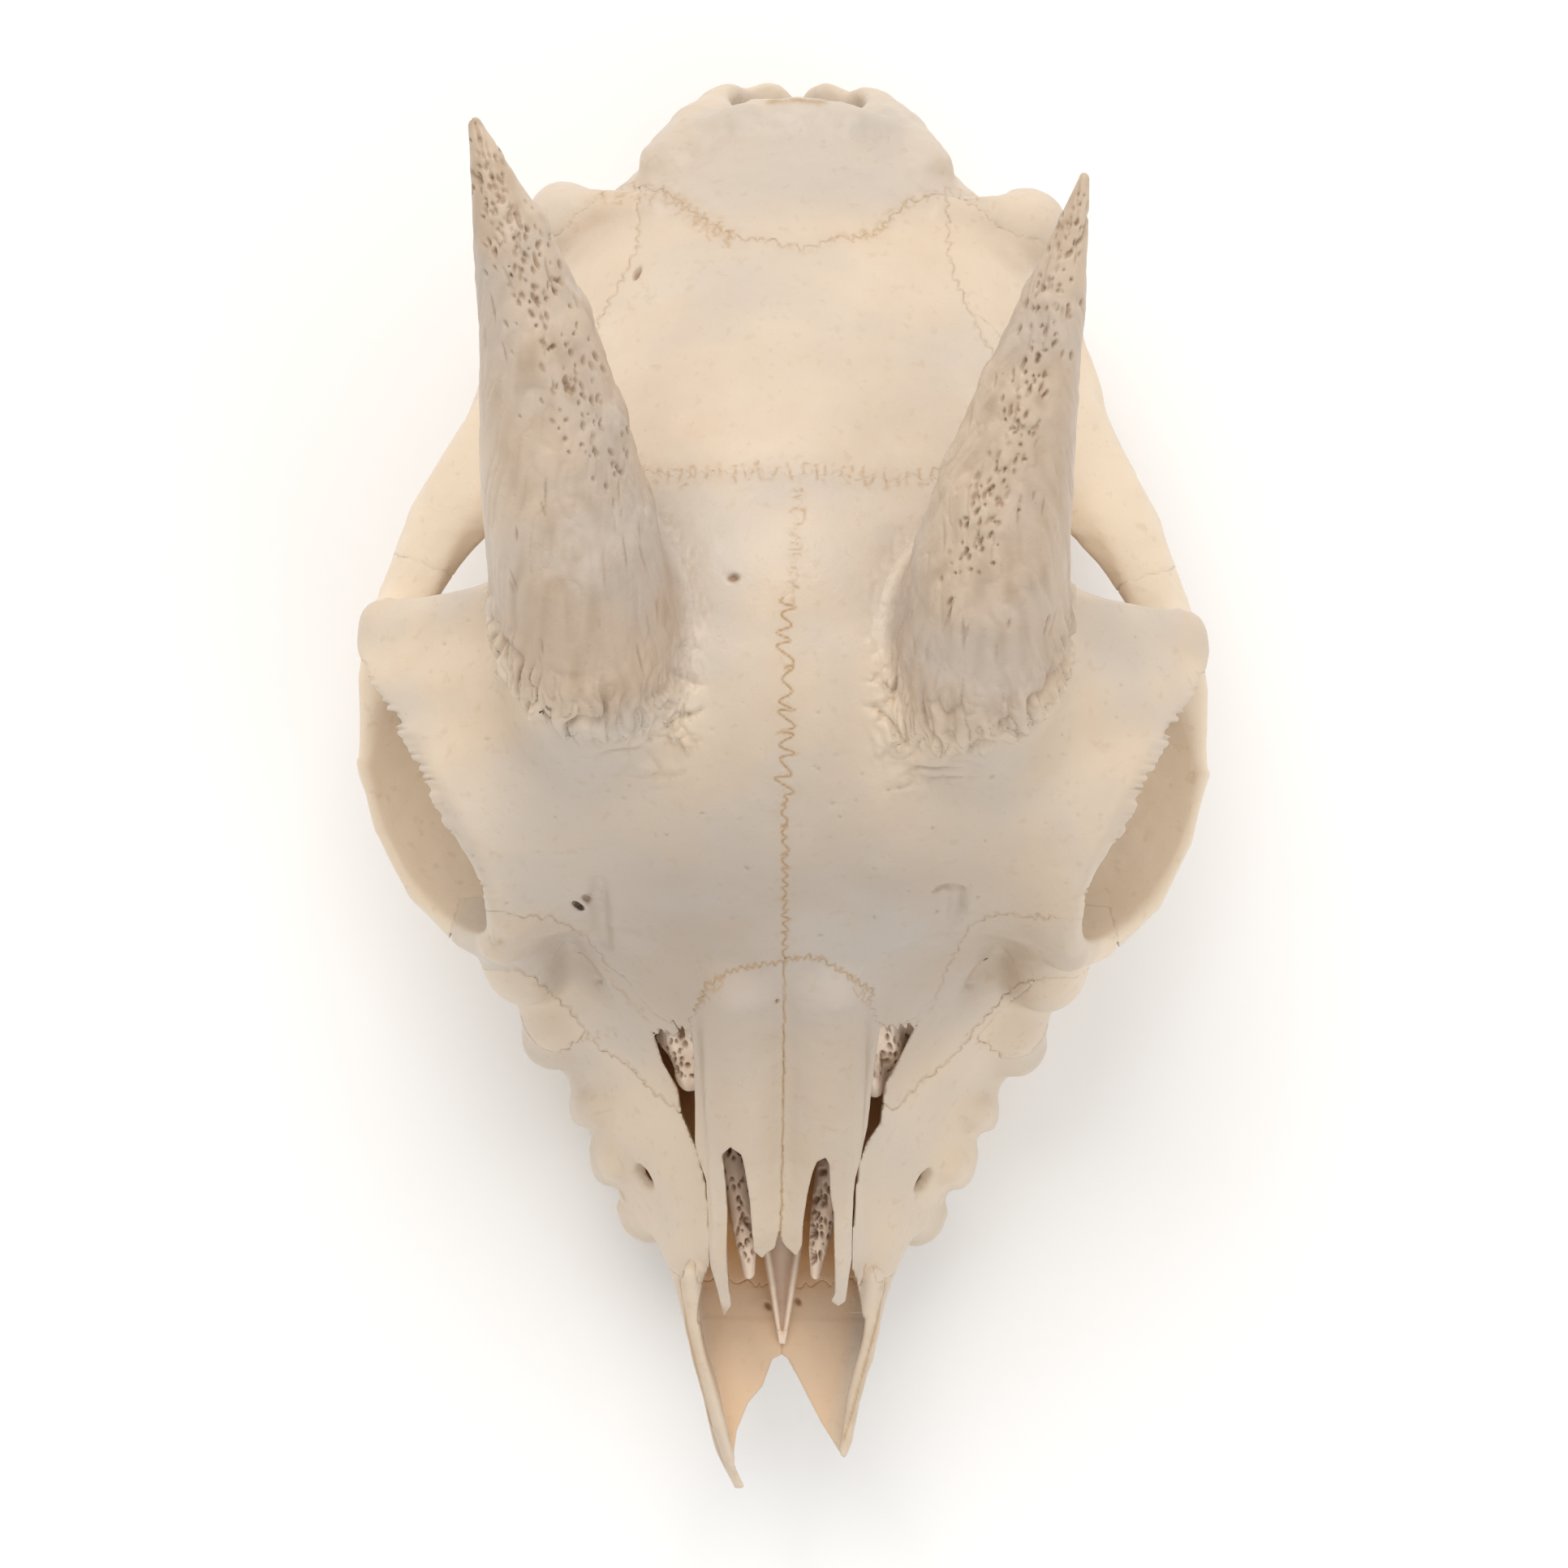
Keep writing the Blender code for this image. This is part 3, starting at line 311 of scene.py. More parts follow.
# The brow, a plate of the frontal bone that roofs the orbit: place along Y, reach to the
# side and level of its rim. It thins to a sharp rim.
BROW = (
    (-19.0, 34.6, 61.5), (-13.0, 40.6, 69.5), (-8.0, 43.6, 75.0), (-2.0, 45.6, 78.5),
    (7.0, 50.2, 76.5), (13.0, 54.0, 72.5), (17.5, 55.3, 67.5), (23.5, 51.5, 66.0),
)
BROW_THICK = 3.4
BROW_FALL = 2.4
BROW_SINK = 2.0
SCALLOP = 0.95
SCALLOP_PITCH = 1.6


def scallops(y):
    """The notched edge of the brow: how far it stands back at a place along Y."""
    wander = y + 0.45 * np.sin(y * 1.9 + 0.6) + 0.3 * np.sin(y * 3.7)
    notch = 0.5 + 0.5 * np.cos(2 * math.pi * wander / SCALLOP_PITCH)
    strength = 0.65 + 0.35 * np.sin(y * 0.83 + 1.0)
    return SCALLOP * strength * notch * np.clip((16.0 - y) / 3.0, 0.0, 1.0)


def brow_form():
    table = np.array(BROW)
    places = table[:, 0]

    def distance(x, y, z):
        reach = smooth_curve(places, table[:, 1], y) + 0.3
        rim = smooth_curve(places, table[:, 2], y)
        crown = roof_level(y)
        share = np.clip(np.abs(x) / reach, 0.0, 1.15)
        ends = np.clip(np.minimum(y - places[0], places[-1] - y) / 9.0, 0.0, 1.0)
        sunk = BROW_SINK * (1.0 - share) ** 2 + 6.0 * (1 - ends) ** 2 * np.clip((36.0 - x) / 10.0, 0.0, 1.0)
        level = crown - (crown - rim) * share ** BROW_FALL - BROW_THICK / 2 - sunk
        sheet = np.abs(z - level) * 0.85 - BROW_THICK / 2
        edge = np.maximum(np.abs(x) + scallops(y) - reach, np.maximum(places[0] - y, y - places[-1]))
        return -smooth_min(-sheet, -edge, 0.8)

    low = (-table[:, 1].max(), places[0], table[:, 2].min() - BROW_THICK)
    high = (table[:, 1].max(), places[-1], CROWN_HEIGHT + BROW_THICK)
    return low, high, distance


# The orbit, a round hollow that faces out and a little forward, with a thin cup of bone
# round its front and lower part.
ORBIT_CENTRE = (48.0, -3.0, 61.0)
ORBIT_FACING = (0.87, -0.42, 0.26)
ORBIT_RADII = (19.2, 17.2, 24.0)
ORBIT_WALL = 3.4
ORBIT_SINK = 6.0
ORBIT_MOUTH = 6.5


def orbit_form(grow=0.0, cup=False):
    facing = np.array(ORBIT_FACING) / np.linalg.norm(ORBIT_FACING)
    along = np.cross((0.0, 0.0, 1.0), facing)
    along = along / np.linalg.norm(along)
    axes = (along, np.cross(facing, along), facing)
    centre = np.array(ORBIT_CENTRE) - ORBIT_SINK * facing
    radii = np.array(ORBIT_RADII) + grow

    def distance(x, y, z):
        p = (x - centre[0], y - centre[1], z - centre[2])
        q = [a[0] * p[0] + a[1] * p[1] + a[2] * p[2] for a in axes]
        near = np.sqrt(sum((q[i] / radii[i]) ** 2 for i in range(3))) + 1e-6
        steep = np.sqrt(sum((q[i] / radii[i] ** 2) ** 2 for i in range(3))) + 1e-6
        d = near * (near - 1) / steep
        if cup:
            mouth = q[2] - ORBIT_MOUTH
            rear = q[0] - ORBIT_SINK - 0.25 * q[2]
            d = -smooth_min(-d, -np.maximum(mouth, rear), 1.6)
        return d

    return centre - radii.max(), centre + radii.max(), distance


# The horn cores, bony spikes that sweep back from the frontal bones: paths from root to tip
# with the radius across. They are deeper than wide, and blend softly into the brow.
HORN_PATHS = {
    "left": (
        (25.0, 14.0, 81.0, 12.0), (25.4, 19.0, 89.0, 11.3), (26.4, 27.0, 96.5, 10.2),
        (28.0, 37.0, 103.0, 8.7), (30.2, 49.0, 109.0, 6.5), (32.7, 61.0, 113.5, 4.2),
        (34.9, 71.0, 116.5, 2.0), (36.3, 77.0, 118.0, 0.7),
    ),
    "right": (
        (-24.6, 14.0, 81.0, 12.0), (-25.3, 20.0, 89.0, 11.7), (-27.1, 31.0, 98.5, 11.0),
        (-29.6, 43.0, 105.5, 9.5), (-32.5, 56.0, 112.0, 7.3), (-35.9, 68.0, 117.0, 4.9),
        (-39.0, 77.6, 120.0, 2.2), (-40.7, 82.6, 121.3, 0.8),
    ),
}
HORN_DEPTH = 1.22
HORN_BLEND = 3.4


def horn_form(path):
    deep = [(x, y, z, radius * HORN_DEPTH) for x, y, z, radius in path]
    return rod(deep, (math.copysign(1.0, path[0][0]), 0.15, 0.0), 1 / HORN_DEPTH)


def open_nose_form(behind):
    """The hollow of the nose: the channel in front, or the room behind it."""
    places, reaches = np.array(((-97.0, 5.0), (-90.0, 7.2), (-82.0, 8.8), (-73.0, 11.0), (-69.0, 11.1),
                                (-66.0, 10.4), (-60.0, 9.9))).T
    body = body_form()[2]
    wall = 2.0

    def channel(x, y, z):
        beside = np.maximum(np.abs(x) - smooth_curve(places, reaches, y), NOSE_FLOOR - z)
        under_nasals = np.maximum(z - 31.8 - 0.5 * (y + 70.0), y + 60.0)
        return np.maximum(beside, np.minimum(y + 71.5, under_nasals))

    def room_behind(x, y, z):
        ends = np.maximum(y + 27.0, -72.0 - y)
        return np.maximum(np.maximum(body(x, y, z) + wall, NOSE_FLOOR - z), ends)

    if behind:
        return (-35.0, -76.0, NOSE_FLOOR), (35.0, -27.0, 70.0), room_behind
    return (-14.0, -98.0, NOSE_FLOOR), (14.0, -60.0, 60.0), channel


def below(level):
    """All that lies under a level, to be cut away."""
    return (-70.0, -99.0, -9.0), (70.0, 99.0, level), lambda x, y, z: z - level + 0 * x + 0 * y


# Added to the left half: form and blend. Rods are points of x, y, z and radius.
LEVEL, UPRIGHT = (0, 0, 1), (1, 0, 0)
GROWN = (
    (body_form(), 1.0),
    (brow_form(), 4.0),
    (orbit_form(ORBIT_WALL, cup=True), 4.0),
    # Rim below the orbit, cheek and the side wall in front of the orbit.
    (rod(((36, -20, 58, 3.2), (41.5, -19, 51.5, 3.2), (47.2, -14, 46.5, 3.2), (51.4, -6, 44.5, 3.2),
          (53.2, 4, 44.5, 3.2), (53.4, 13, 46, 3.2), (52.0, 21, 47, 3.2))), 3.0),
    (rod(((30.8, -31.5, 33, 4.2), (38.4, -18.5, 38, 4.6), (47.6, -8, 41, 4.0), (52, 5, 42, 3.2)),
         (1.0, 0.0, 0.3), 0.8), 4.0),
    (ball((34.5, -22, 45), (6.4, 8.0, 11.0)), 4.0),
    # The zygomatic arch, its shelf and its root by the ear.
    (rod(((51.6, 14, 46, 4.6), (49.8, 25, 46, 6.0), (45.6, 35, 46, 6.8), (41.2, 43, 45.5, 6.6),
          (37.2, 51, 45, 6.0), (32, 57, 44, 6.6)), (0.72, 0.42, 0.55), 0.42), 2.5),
    (rod(((46.8, 30, 47.5, 4.0), (42.0, 38, 48.5, 6.2), (36.0, 47, 48.5, 7.0), (30, 54, 46, 6.0)),
         (0.35, 0.2, 1.0), 0.4), 3.0),
    (rod(((34, 60, 40, 5.0), (36, 53, 41, 5.0), (33, 49, 37, 5.0)), LEVEL, 0.7), 4.0),
    # The bar behind the orbit and the shelf from the brow to the horn.
    (rod(((52.8, 19.0, 65, 4.2), (52.8, 19.0, 57, 3.8), (52.0, 18.5, 49, 4.6)),
         (1.0, -0.2, 0.0), 0.65), 2.5),
    (rod(((48.4, 20, 68.5, 2.4), (41, 21.5, 76, 3.0), (32, 24, 81, 4.4))), 3.0),
    # The ridge that holds the teeth, the beam of the base and the plate by the throat.
    (rod(((18.0, -58.4, 15.0, 4.2), (19.2, -53, 15.8, 5.2), (22.6, -38, 18.0, 7.2), (24.6, -18, 19.0, 8.2),
          (24.2, -2, 19.2, 7.8), (22.6, 5, 20.4, 6.4))), 4.0),
    (rod(((0, 86, 25, 6.0), (0, 72, 25, 7.5), (0, 55, 26, 8.0), (0, 30, 30, 8.0), (0, 12, 36, 8.0)),
         LEVEL, 0.7), 4.0),
    (rod(((13.5, 1, 20, 4.0), (12.2, 14, 22, 6.5), (11.4, 26, 25, 6.5), (11.0, 36, 28, 4.5)),
         UPRIGHT, 0.32), 2.0),
    # Ear capsule, ear tube, jaw socket and mastoid.
    (ball((19.5, 60, 19.5), (6.4, 10.5, 8.5), (0, 0, 12)), 2.4),
    (rod(((25, 61, 30, 5.0), (34.0, 60.5, 37, 4.0))), 2.4),
    (ball((30, 53.5, 38), (8.5, 6.5, 4.0)), 2.4),
    (ball((30.6, 74.6, 41), (4.6, 4.8, 7.0)), 3.0),
    # The crest beside the nape, the lip over the great hole, the lobes below it, the
    # condyle and the jugular process.
    (rod(((31.6, 75.4, 44, 2.6), (26, 76.6, 48.8, 1.8), (19, 76.6, 51.0, 1.4))), 5.0),
    (rod(((13.0, 86.4, 40.6, 2.2), (8.0, 88.2, 41.8, 2.3), (0, 88.9, 42.4, 2.4))), 4.5),
    (ball((3.8, 91.0, 23.6), (3.6, 3.8, 3.4)), 0.8),
    (rod(((16.2, 82.0, 41, 4.8), (11.9, 85.6, 34, 6.0), (9.0, 88.8, 27, 5.4), (4.6, 88.6, 23.5, 4.0))), 2.2),
    (rod(((21.5, 76, 30, 5.4), (23.2, 77, 15, 4.2), (23.9, 76.6, 6, 2.7), (24.1, 76.4, 2.0, 2.1)),
         (0.5, 1, 0), 0.62), 4.0),
    # Muscle knobs on the base, the face's tuber and the knob on the front of the orbit.
    (ball((5.5, 68, 19.6), (2.6, 4.0, 2.2)), 2.0),
    (rod(((30.6, -35.2, 20, 3.2), (31.0, -34.6, 27, 4.4), (31.4, -32.0, 31, 3.6))), 2.6),
    (rod(((26.0, -44.4, 16.5, 3.2), (25.4, -43.8, 27, 2.8))), 1.6),
    (rod(((22.8, -51.8, 16.5, 3.2), (22.2, -51.2, 26, 2.6))), 1.6),
    (rod(((17.9, -59.0, 17.0, 3.0), (17.3, -58.2, 24, 2.2))), 1.6),
    (ball((37.4, -21.0, 60.0), (2.6, 3.2, 2.0)), 1.4),
    # The two nasal bones' backs and the ridges along the sides of the premaxillae.
    (rod(((5.8, -27, 61.6, 5.4), (5.6, -38, 54.4, 5.2), (5.4, -48, 48.2, 4.9), (5.2, -58, 42.8, 4.3),
          (6.6, -68, 36.8, 2.6))), 3.0),
    (rod(((12.2, -66, 35.0, 1.5), (11.6, -73, 32.5, 1.5), (10.4, -79, 29.8, 1.4), (8.6, -86, 27.6, 1.2),
          (7.0, -92, 26.2, 1.0))), 1.0),
)
# Cut from the left half after that.
WORN = (
    (orbit_form(), 1.4),
    (ball((0, 91, 32), (9.0, 26, 8.0)), 1.4),
    (rod(((0, 34, 22, 7.0), (0, 16, 21.5, 8.0), (0, 0, 27, 6.0)), LEVEL, 0.85), 1.5),
    (rod(((0, -90, 12.5, 7.0), (0, -62, 9, 11.0), (0, -35, 6.5, 15.5), (0, 2, 7.5, 15.0)),
         LEVEL, 0.62), 2.0),
    (open_nose_form(True), 0.6),
    (open_nose_form(False), 0.6),
    # Furrows between the roots of the teeth.
    (rod(((31.0, -41.4, 14, 1.2), (30.4, -41.2, 32, 0.8))), 2.0),
    (rod(((27.6, -48.2, 14, 1.2), (26.8, -48.0, 28, 0.9))), 1.6),
    (rod(((23.4, -56.2, 14, 1.2), (22.6, -56.0, 26, 0.9))), 1.6),
    # Ear canal, infraorbital canal and tear pit.
    (rod(((40, 60, 39, 2.2), (28, 61, 34, 2.0))), 0.8),
    (rod(((22.4, -64, 36.0, 0.7), (20.6, -58, 34.2, 1.3), (18.8, -53.0, 30.5, 1.7))), 0.8),
    (ball((27.4, -28.2, 51.0), (3.6, 5.0, 2.4), (0, -48, 0)), 2.5),
    # Holes in the wall of the orbit: optic canal, orbital fissure and tear duct.
    (rod(((26.0, 9.0, 52.0, 2.0), (16.0, 12.0, 50.0, 1.8))), 0.8),
    (rod(((27.0, 13.0, 44.0, 2.6), (17.0, 18.0, 42.0, 2.2))), 0.8),
    (rod(((33.0, -17.0, 55.0, 1.3), (26.0, -22.0, 50.0, 1.0))), 0.6),
    # Palatine foramen, condylar foramen and the slit between bulla and base.
    (rod(((9.0, -6.0, 15.0, 0.9), (9.0, -2.0, 22.0, 1.0))), 0.6),
    (rod(((8.0, 80.0, 20.0, 1.2), (7.0, 77.0, 28.0, 1.0))), 0.6),
    (rod(((11.5, 50.0, 19.0, 1.3), (12.5, 60.0, 20.0, 1.1), (14.0, 70.0, 22.0, 1.4))), 1.0),
    # Grooves along the two nasal bones' middle seam and the premaxillae's sides.
    (rod(((0, -24, 70.2, 0.7), (0, -34, 62.9, 0.7), (0, -46, 54.2, 0.6), (0, -58, 47.2, 0.5))), 1.6),
    (rod(((13.6, -67, 31.5, 0.7), (12.6, -73, 30.0, 0.8), (11.2, -79, 28.2, 0.8),
          (9.4, -86, 26.4, 0.6))), 0.6),
)


def skull_clay(low, high, cell):
    """The unparted skull between two corners of a box."""
    reach = math.ceil(max(abs(low[0]), abs(high[0])) / cell) * cell
    half = Clay((0.0, low[1], low[2]), (reach, high[1], high[2]), cell)
    for form, blend in GROWN:
        half.add(form, blend)
    for form, blend in WORN:
        half.cut(form, blend)
    whole = half.mirrored()
    part = slice(*np.searchsorted(whole.axes[0], (low[0], high[0])))
    whole.axes[0] = whole.axes[0][part]
    whole.depth = whole.depth[part]
    for path in HORN_PATHS.values():
        whole.add(horn_form(path), HORN_BLEND)
    whole.cut(below(0.0), 0.01)
    return whole


# The horn cores, bone spikes over which the horns grew: coarse, grooved along their
# length and pierced by pores. Each is parted from the clay in a room round its path, in
# the way that every bone is taken off: its room, what is left of the clay, its surface.
# Knit bones run into each other by this much, so that no gap shows between them.
FUSED = -0.16
# The skull has grown a little askew: place along Y and shift to the side.
ASKEW = ((-95.0, 1.4), (-80.0, 0.6), (-65.0, 0.35), (-40.0, 0.3), (-20.0, 0.0), (20.0, -0.7),
         (40.0, -0.6), (60.0, 0.2), (90.0, 0.3))


def askew(y):
    table = np.array(ASKEW)
    return smooth_curve(table[:, 0], table[:, 1], y)


def hash_noise(cells, seed):
    """A number from -1 to 1 for each whole-number place."""
    n = cells[0].astype(np.int64) * 73856093 ^ cells[1].astype(np.int64) * 19349663
    n = (n ^ cells[2].astype(np.int64) * 83492791 ^ seed * 2654435761) & 0xFFFFFFFF
    n = ((n ^ (n >> 15)) * 2246822519) & 0xFFFFFFFF
    n = ((n ^ (n >> 13)) * 3266489917) & 0xFFFFFFFF
    return ((n ^ (n >> 16)) & 0xFFFFFF) / float(0x7FFFFF) - 1.0


def cloud(points, size, seed):
    """Soft noise from -1 to 1 over places in millimetres, in lumps of about one size."""
    p = np.asarray(points) / np.asarray(size)
    whole = np.floor(p)
    part = p - whole
    part = part * part * (3 - 2 * part)
    total = np.zeros(len(p))
    for corner in range(8):
        bits = [(corner >> i) & 1 for i in range(3)]
        weight = np.prod([part[:, i] if bits[i] else 1 - part[:, i] for i in range(3)], axis=0)
        total += weight * hash_noise([whole[:, i] + bits[i] for i in range(3)], seed)
    return total


def outline_depth(outline, u, v, reach=3.0):
    """Distance to a closed outline over a grid of u and v, below zero inside."""
    points = np.array(outline, float)
    away = np.full((len(u), len(v)), reach * reach)
    inside = np.zeros((len(u), len(v)), bool)
    for a, b in zip(points, np.roll(points, -1, axis=0)):
        along = b - a
        if along.dot(along) < 1e-12:
            continue
        low, high = np.minimum(a, b) - reach, np.maximum(a, b) + reach
        i, j = np.searchsorted(u, (low[0], high[0])), np.searchsorted(v, (low[1], high[1]))
        if i[0] < i[1] and j[0] < j[1]:
            pu, pv = u[i[0]:i[1], None] - a[0], v[None, j[0]:j[1]] - a[1]
            t = np.clip((pu * along[0] + pv * along[1]) / along.dot(along), 0.0, 1.0)
            near = (pu - t * along[0]) ** 2 + (pv - t * along[1]) ** 2
            away[i[0]:i[1], j[0]:j[1]] = np.minimum(away[i[0]:i[1], j[0]:j[1]], near)
        j = np.searchsorted(v, sorted((a[1], b[1])))
        if j[0] < j[1]:
            crossing = a[0] + (v[j[0]:j[1]] - a[1]) / along[1] * along[0]
            inside[:, j[0]:j[1]] ^= u[:, None] > crossing[None, :]
    away = np.sqrt(away)
    return np.where(inside, -away, away).astype(np.float32)


def wandering(outline):
    """An outline seen from the side, with edges that wander as grown seams do."""
    points = []
    for a, b in zip(outline, np.roll(outline, -1, axis=0)):
        steps = max(int(np.hypot(*(b - a)) / 0.9), 1)
        points.extend(a + (b - a) * i / steps for i in range(steps))
    y, z = np.array(points).T
    aside = 0.5 * np.sin(z * 0.9 + 1.3 * np.sin(y * 0.33)) + 0.3 * np.sin(z * 2.3 + y * 0.7)
    up = 0.5 * np.sin(y * 0.8 + 1.1 * np.sin(z * 0.37) + 2.0) + 0.3 * np.sin(y * 2.1 - z * 0.6)
    return np.stack((y + aside, z + up), axis=1)


class Room:
    """The room of one bone: outlines seen from above, each with one seen from the side."""

    def __init__(self, blocks):
        self.blocks = []
        for above, beside in blocks:
            above = np.array(above, float)
            above[:, 0] -= askew(above[:, 1])
            self.blocks.append((above, None if beside is None else wandering(np.array(beside, float))))
        edges = np.concatenate([above for above, beside in self.blocks])
        self.low = np.array((edges[:, 0].min(), edges[:, 1].min(), -9.0))
        self.high = np.array((edges[:, 0].max(), edges[:, 1].max(), 140.0))

    def depth(self, axes):
        whole = None
        for above, beside in self.blocks:
            d = outline_depth(above, axes[0], axes[1])[:, :, None]
            if beside is not None:
                d = np.maximum(d, outline_depth(beside, axes[1], axes[2])[None, :, :])
            whole = d if whole is None else np.minimum(whole, d)
        return whole


# The root's edge lies this far up the path and leans outward. The room is wider than the
# core by the flare, so that the whole collar is in it.
HORN_ROOT = 4.5
HORN_FLARE = (3.0, 2.4, 1.6, 1.4, 1.4, 1.4, 1.4, 1.4)
HORN_LEAN = 0.42


class HornRoom:
    """The room round a horn core's path. Its root is a slanting ragged edge."""

    def __init__(self, path):
        grown = [(x, y, z, r * HORN_DEPTH + flare) for (x, y, z, r), flare in zip(path, HORN_FLARE)]
        side = math.copysign(1.0, path[0][0])
        self.low, self.high, self.form = rod(grown, (side, 0.15, 0.0), 1 / HORN_DEPTH)
        start, ahead = np.array(path[0][:3]), np.array(path[2][:3])
        aim = (ahead - start) / np.linalg.norm(ahead - start)
        self.start = start + aim * HORN_ROOT
        self.aim = aim - HORN_LEAN * np.array((side, 0.0, 0.0))
        self.aim /= np.linalg.norm(self.aim)

    def height(self, x, y, z):
        """How far a place lies up the horn from the edge of its root."""
        height = sum((p - s) * a for p, s, a in zip((x, y, z), self.start, self.aim))
        wave = 0.6 * np.sin(x * 1.1 + z * 0.6) + 0.45 * np.sin(x * 2.3 - y * 0.9 + 2.0)
        return height + wave + 0.3 * np.sin(x * 4.1 + y * 1.7)

    def lengthwise(self, points, stir):
        """Places across and along the horn, a little stirred, for marks that run along it."""
        along = self.aim * np.array((0.2, 1.0, 1.0))
        along /= np.linalg.norm(along)
        run = points @ along
        stirred = points - run[:, None] * along
        stirred = stirred + stir * np.stack([cloud(points, 4.0, 40 + i) for i in range(3)], axis=1)
        return np.stack((stirred[:, 0], stirred[:, 1] - stirred[:, 2], run), axis=1)

    def depth(self, axes):
        place = np.meshgrid(*axes, indexing="ij", sparse=True)
        return np.maximum(self.form(*place), -self.height(*place))


HORN_ROOMS = {side: HornRoom(path) for side, path in HORN_PATHS.items()}


def creases(points, size, seed):
    """Folds from 0 in sharp valleys to 1 on their rounded backs."""
    return np.minimum(np.abs(cloud(points, size, seed)) * 2.2, 1.0) ** 0.7


def horn_relief(points):
    """Swell of the surface by the horns: a wrinkled collar with grooves that run up from it."""
    swell = np.zeros(len(points))
    for number, room in enumerate(HORN_ROOMS.values()):
        height = room.height(*points.T)
        reach = room.form(*points.T)
        near = np.flatnonzero((reach < 4.0) & (height > -12.0))
        p, h = points[near], height[near]
        close = np.clip((4.0 - reach[near]) / 3.0, 0, 1)
        long_way = room.lengthwise(p, 1.2)
        band = np.clip((h + 2.2) / 1.6, 0, 1) * np.clip((11.0 - h) / 7.0, 0, 1)
        folds = (1.25 * creases(long_way / (1.9, 2.7, 7.0), 1.0, 50 + number)
                 + 0.45 * creases(long_way / (0.9, 1.25, 3.4), 1.0, 54 + number))
        swell[near] += close * band * (folds - 0.6)
        inward = np.clip((room.start[0] - p[:, 0]) * math.copysign(1, room.start[0]) / 6.0 + 0.35, 0, 1)
        low_band = np.exp(-((h + 4.6) / 3.0) ** 2) * inward
        level = p / (5.0, 1.7, 3.0) + 0.4 * np.stack([cloud(p, 3.0, 66 + i) for i in range(3)], axis=1)
        swell[near] += close * low_band * (0.8 * creases(level, 1.0, 62 + number) - 0.35)
        # Lengthwise grooves and the finer grain of the horn itself.
        shaft = close * np.clip((h - 1.0) / 5.0, 0, 1) * np.clip((66.0 - h) / 30.0, 0.08, 1)
        straight = room.lengthwise(p, 0.3)
        swell[near] += shaft * 0.17 * (creases(straight / (1.3, 1.8, 26.0), 1.0, 70 + number) - 0.85)
        swell[near] += shaft * 0.08 * cloud(straight / (3.5, 4.5, 16.0), 1.0, 74 + number)
        swell[near] += shaft * 0.06 * cloud(straight / (0.55, 0.7, 5.0), 1.0, 80 + number)
    return swell


def weathering(points):
    """How far the surface swells from its plain form, in millimetres."""
    swell = 0.16 * cloud(points, 8.0, 1) + 0.06 * cloud(points, 3.1, 2) + 0.035 * cloud(points, 1.3, 3)
    rear = np.clip((points[:, 1] - 74.0) / 6.0, 0, 1)
    swell += rear * (0.16 * cloud(points, 2.4, 4) + 0.10 * cloud(points, 1.2, 5))
    side = np.clip((np.abs(points[:, 0]) - 36.0) / 8.0, 0, 1) * np.clip((62.0 - points[:, 2]) / 6.0, 0, 1)
    swell += side * 0.06 * cloud(points, 2.0, 6)
    x, y, z = np.abs(points[:, 0]), points[:, 1], points[:, 2]
    table = np.array(BROW)
    off = x - smooth_curve(table[:, 0], table[:, 1], y)
    on_rim = np.exp(-(off / 1.1) ** 2) * np.clip((y + 17.0) / 2.0, 0, 1) * (z > 58)
    swell -= 0.5 * on_rim * scallops(y) / SCALLOP
    # Shallow hollows of the brow's front and soft swells beside them.
    front = np.exp(-((y + 13.0) / 8.0) ** 2) * (z > 66)
    swell -= front * (0.9 * np.exp(-((x - 7.0) / 5.0) ** 2) - 0.5 * np.exp(-((x - 15.0) / 4.0) ** 2))
    return swell


def dent(points, normals, swell, deep, place, heading, long, wide, depth, facing=0.15):
    """Presses a small hole of given length and width into the surface seen from above."""
    away = points[:, :2] - np.array(place[:2])
    near = np.flatnonzero((np.abs(away[:, 0]) < 2 * long) & (np.abs(away[:, 1]) < 2 * long)
                          & (normals[:, 2] > facing))
    if len(place) > 2:
        near = near[np.abs(points[near, 2] - place[2]) < 6.0]
    c, s = math.cos(heading), math.sin(heading)
    along = away[near, 0] * c + away[near, 1] * s
    across = away[near, 1] * c - away[near, 0] * s
    d = (along / long) ** 2 + (across / wide) ** 2
    hole = np.exp(-d * d)
    swell[near] -= depth * hole
    # The hole is darkened inside with painted shade.
    deep[near] = np.maximum(deep[near], hole * min(1.0, 1.8 * depth))


# The rooms taken off so far, each with half the gap that is left round it.
parted = []
# The clay of a bone reaches this far past the box of its CAD node.
SPARE = 3.0


def part_off(name, room, cell, gap=FUSED):
    """The clay of one bone in its room, without the rooms of the bones before it."""
    low, high = [np.array(corner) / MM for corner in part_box(name)]
    low, high = low - SPARE, high + SPARE
    if room:
        low, high = np.maximum(low, room.low - 1.0), np.minimum(high, room.high + 1.0)
    bone = skull_clay(low, high, cell)
    bone.uncut = bone.depth
    bone.walls = np.full_like(bone.depth, -FAR)
    for other, half_gap in parted:
        if (other.low < high + 1).all() and (other.high > low - 1).all():
            bone.walls = np.maximum(bone.walls, half_gap - other.depth(bone.axes))
    if room:
        bone.walls = np.maximum(bone.walls, room.depth(bone.axes) + gap / 2)
        parted.append((room, gap / 2))
    bone.depth = np.maximum(bone.uncut, bone.walls)
    return bone


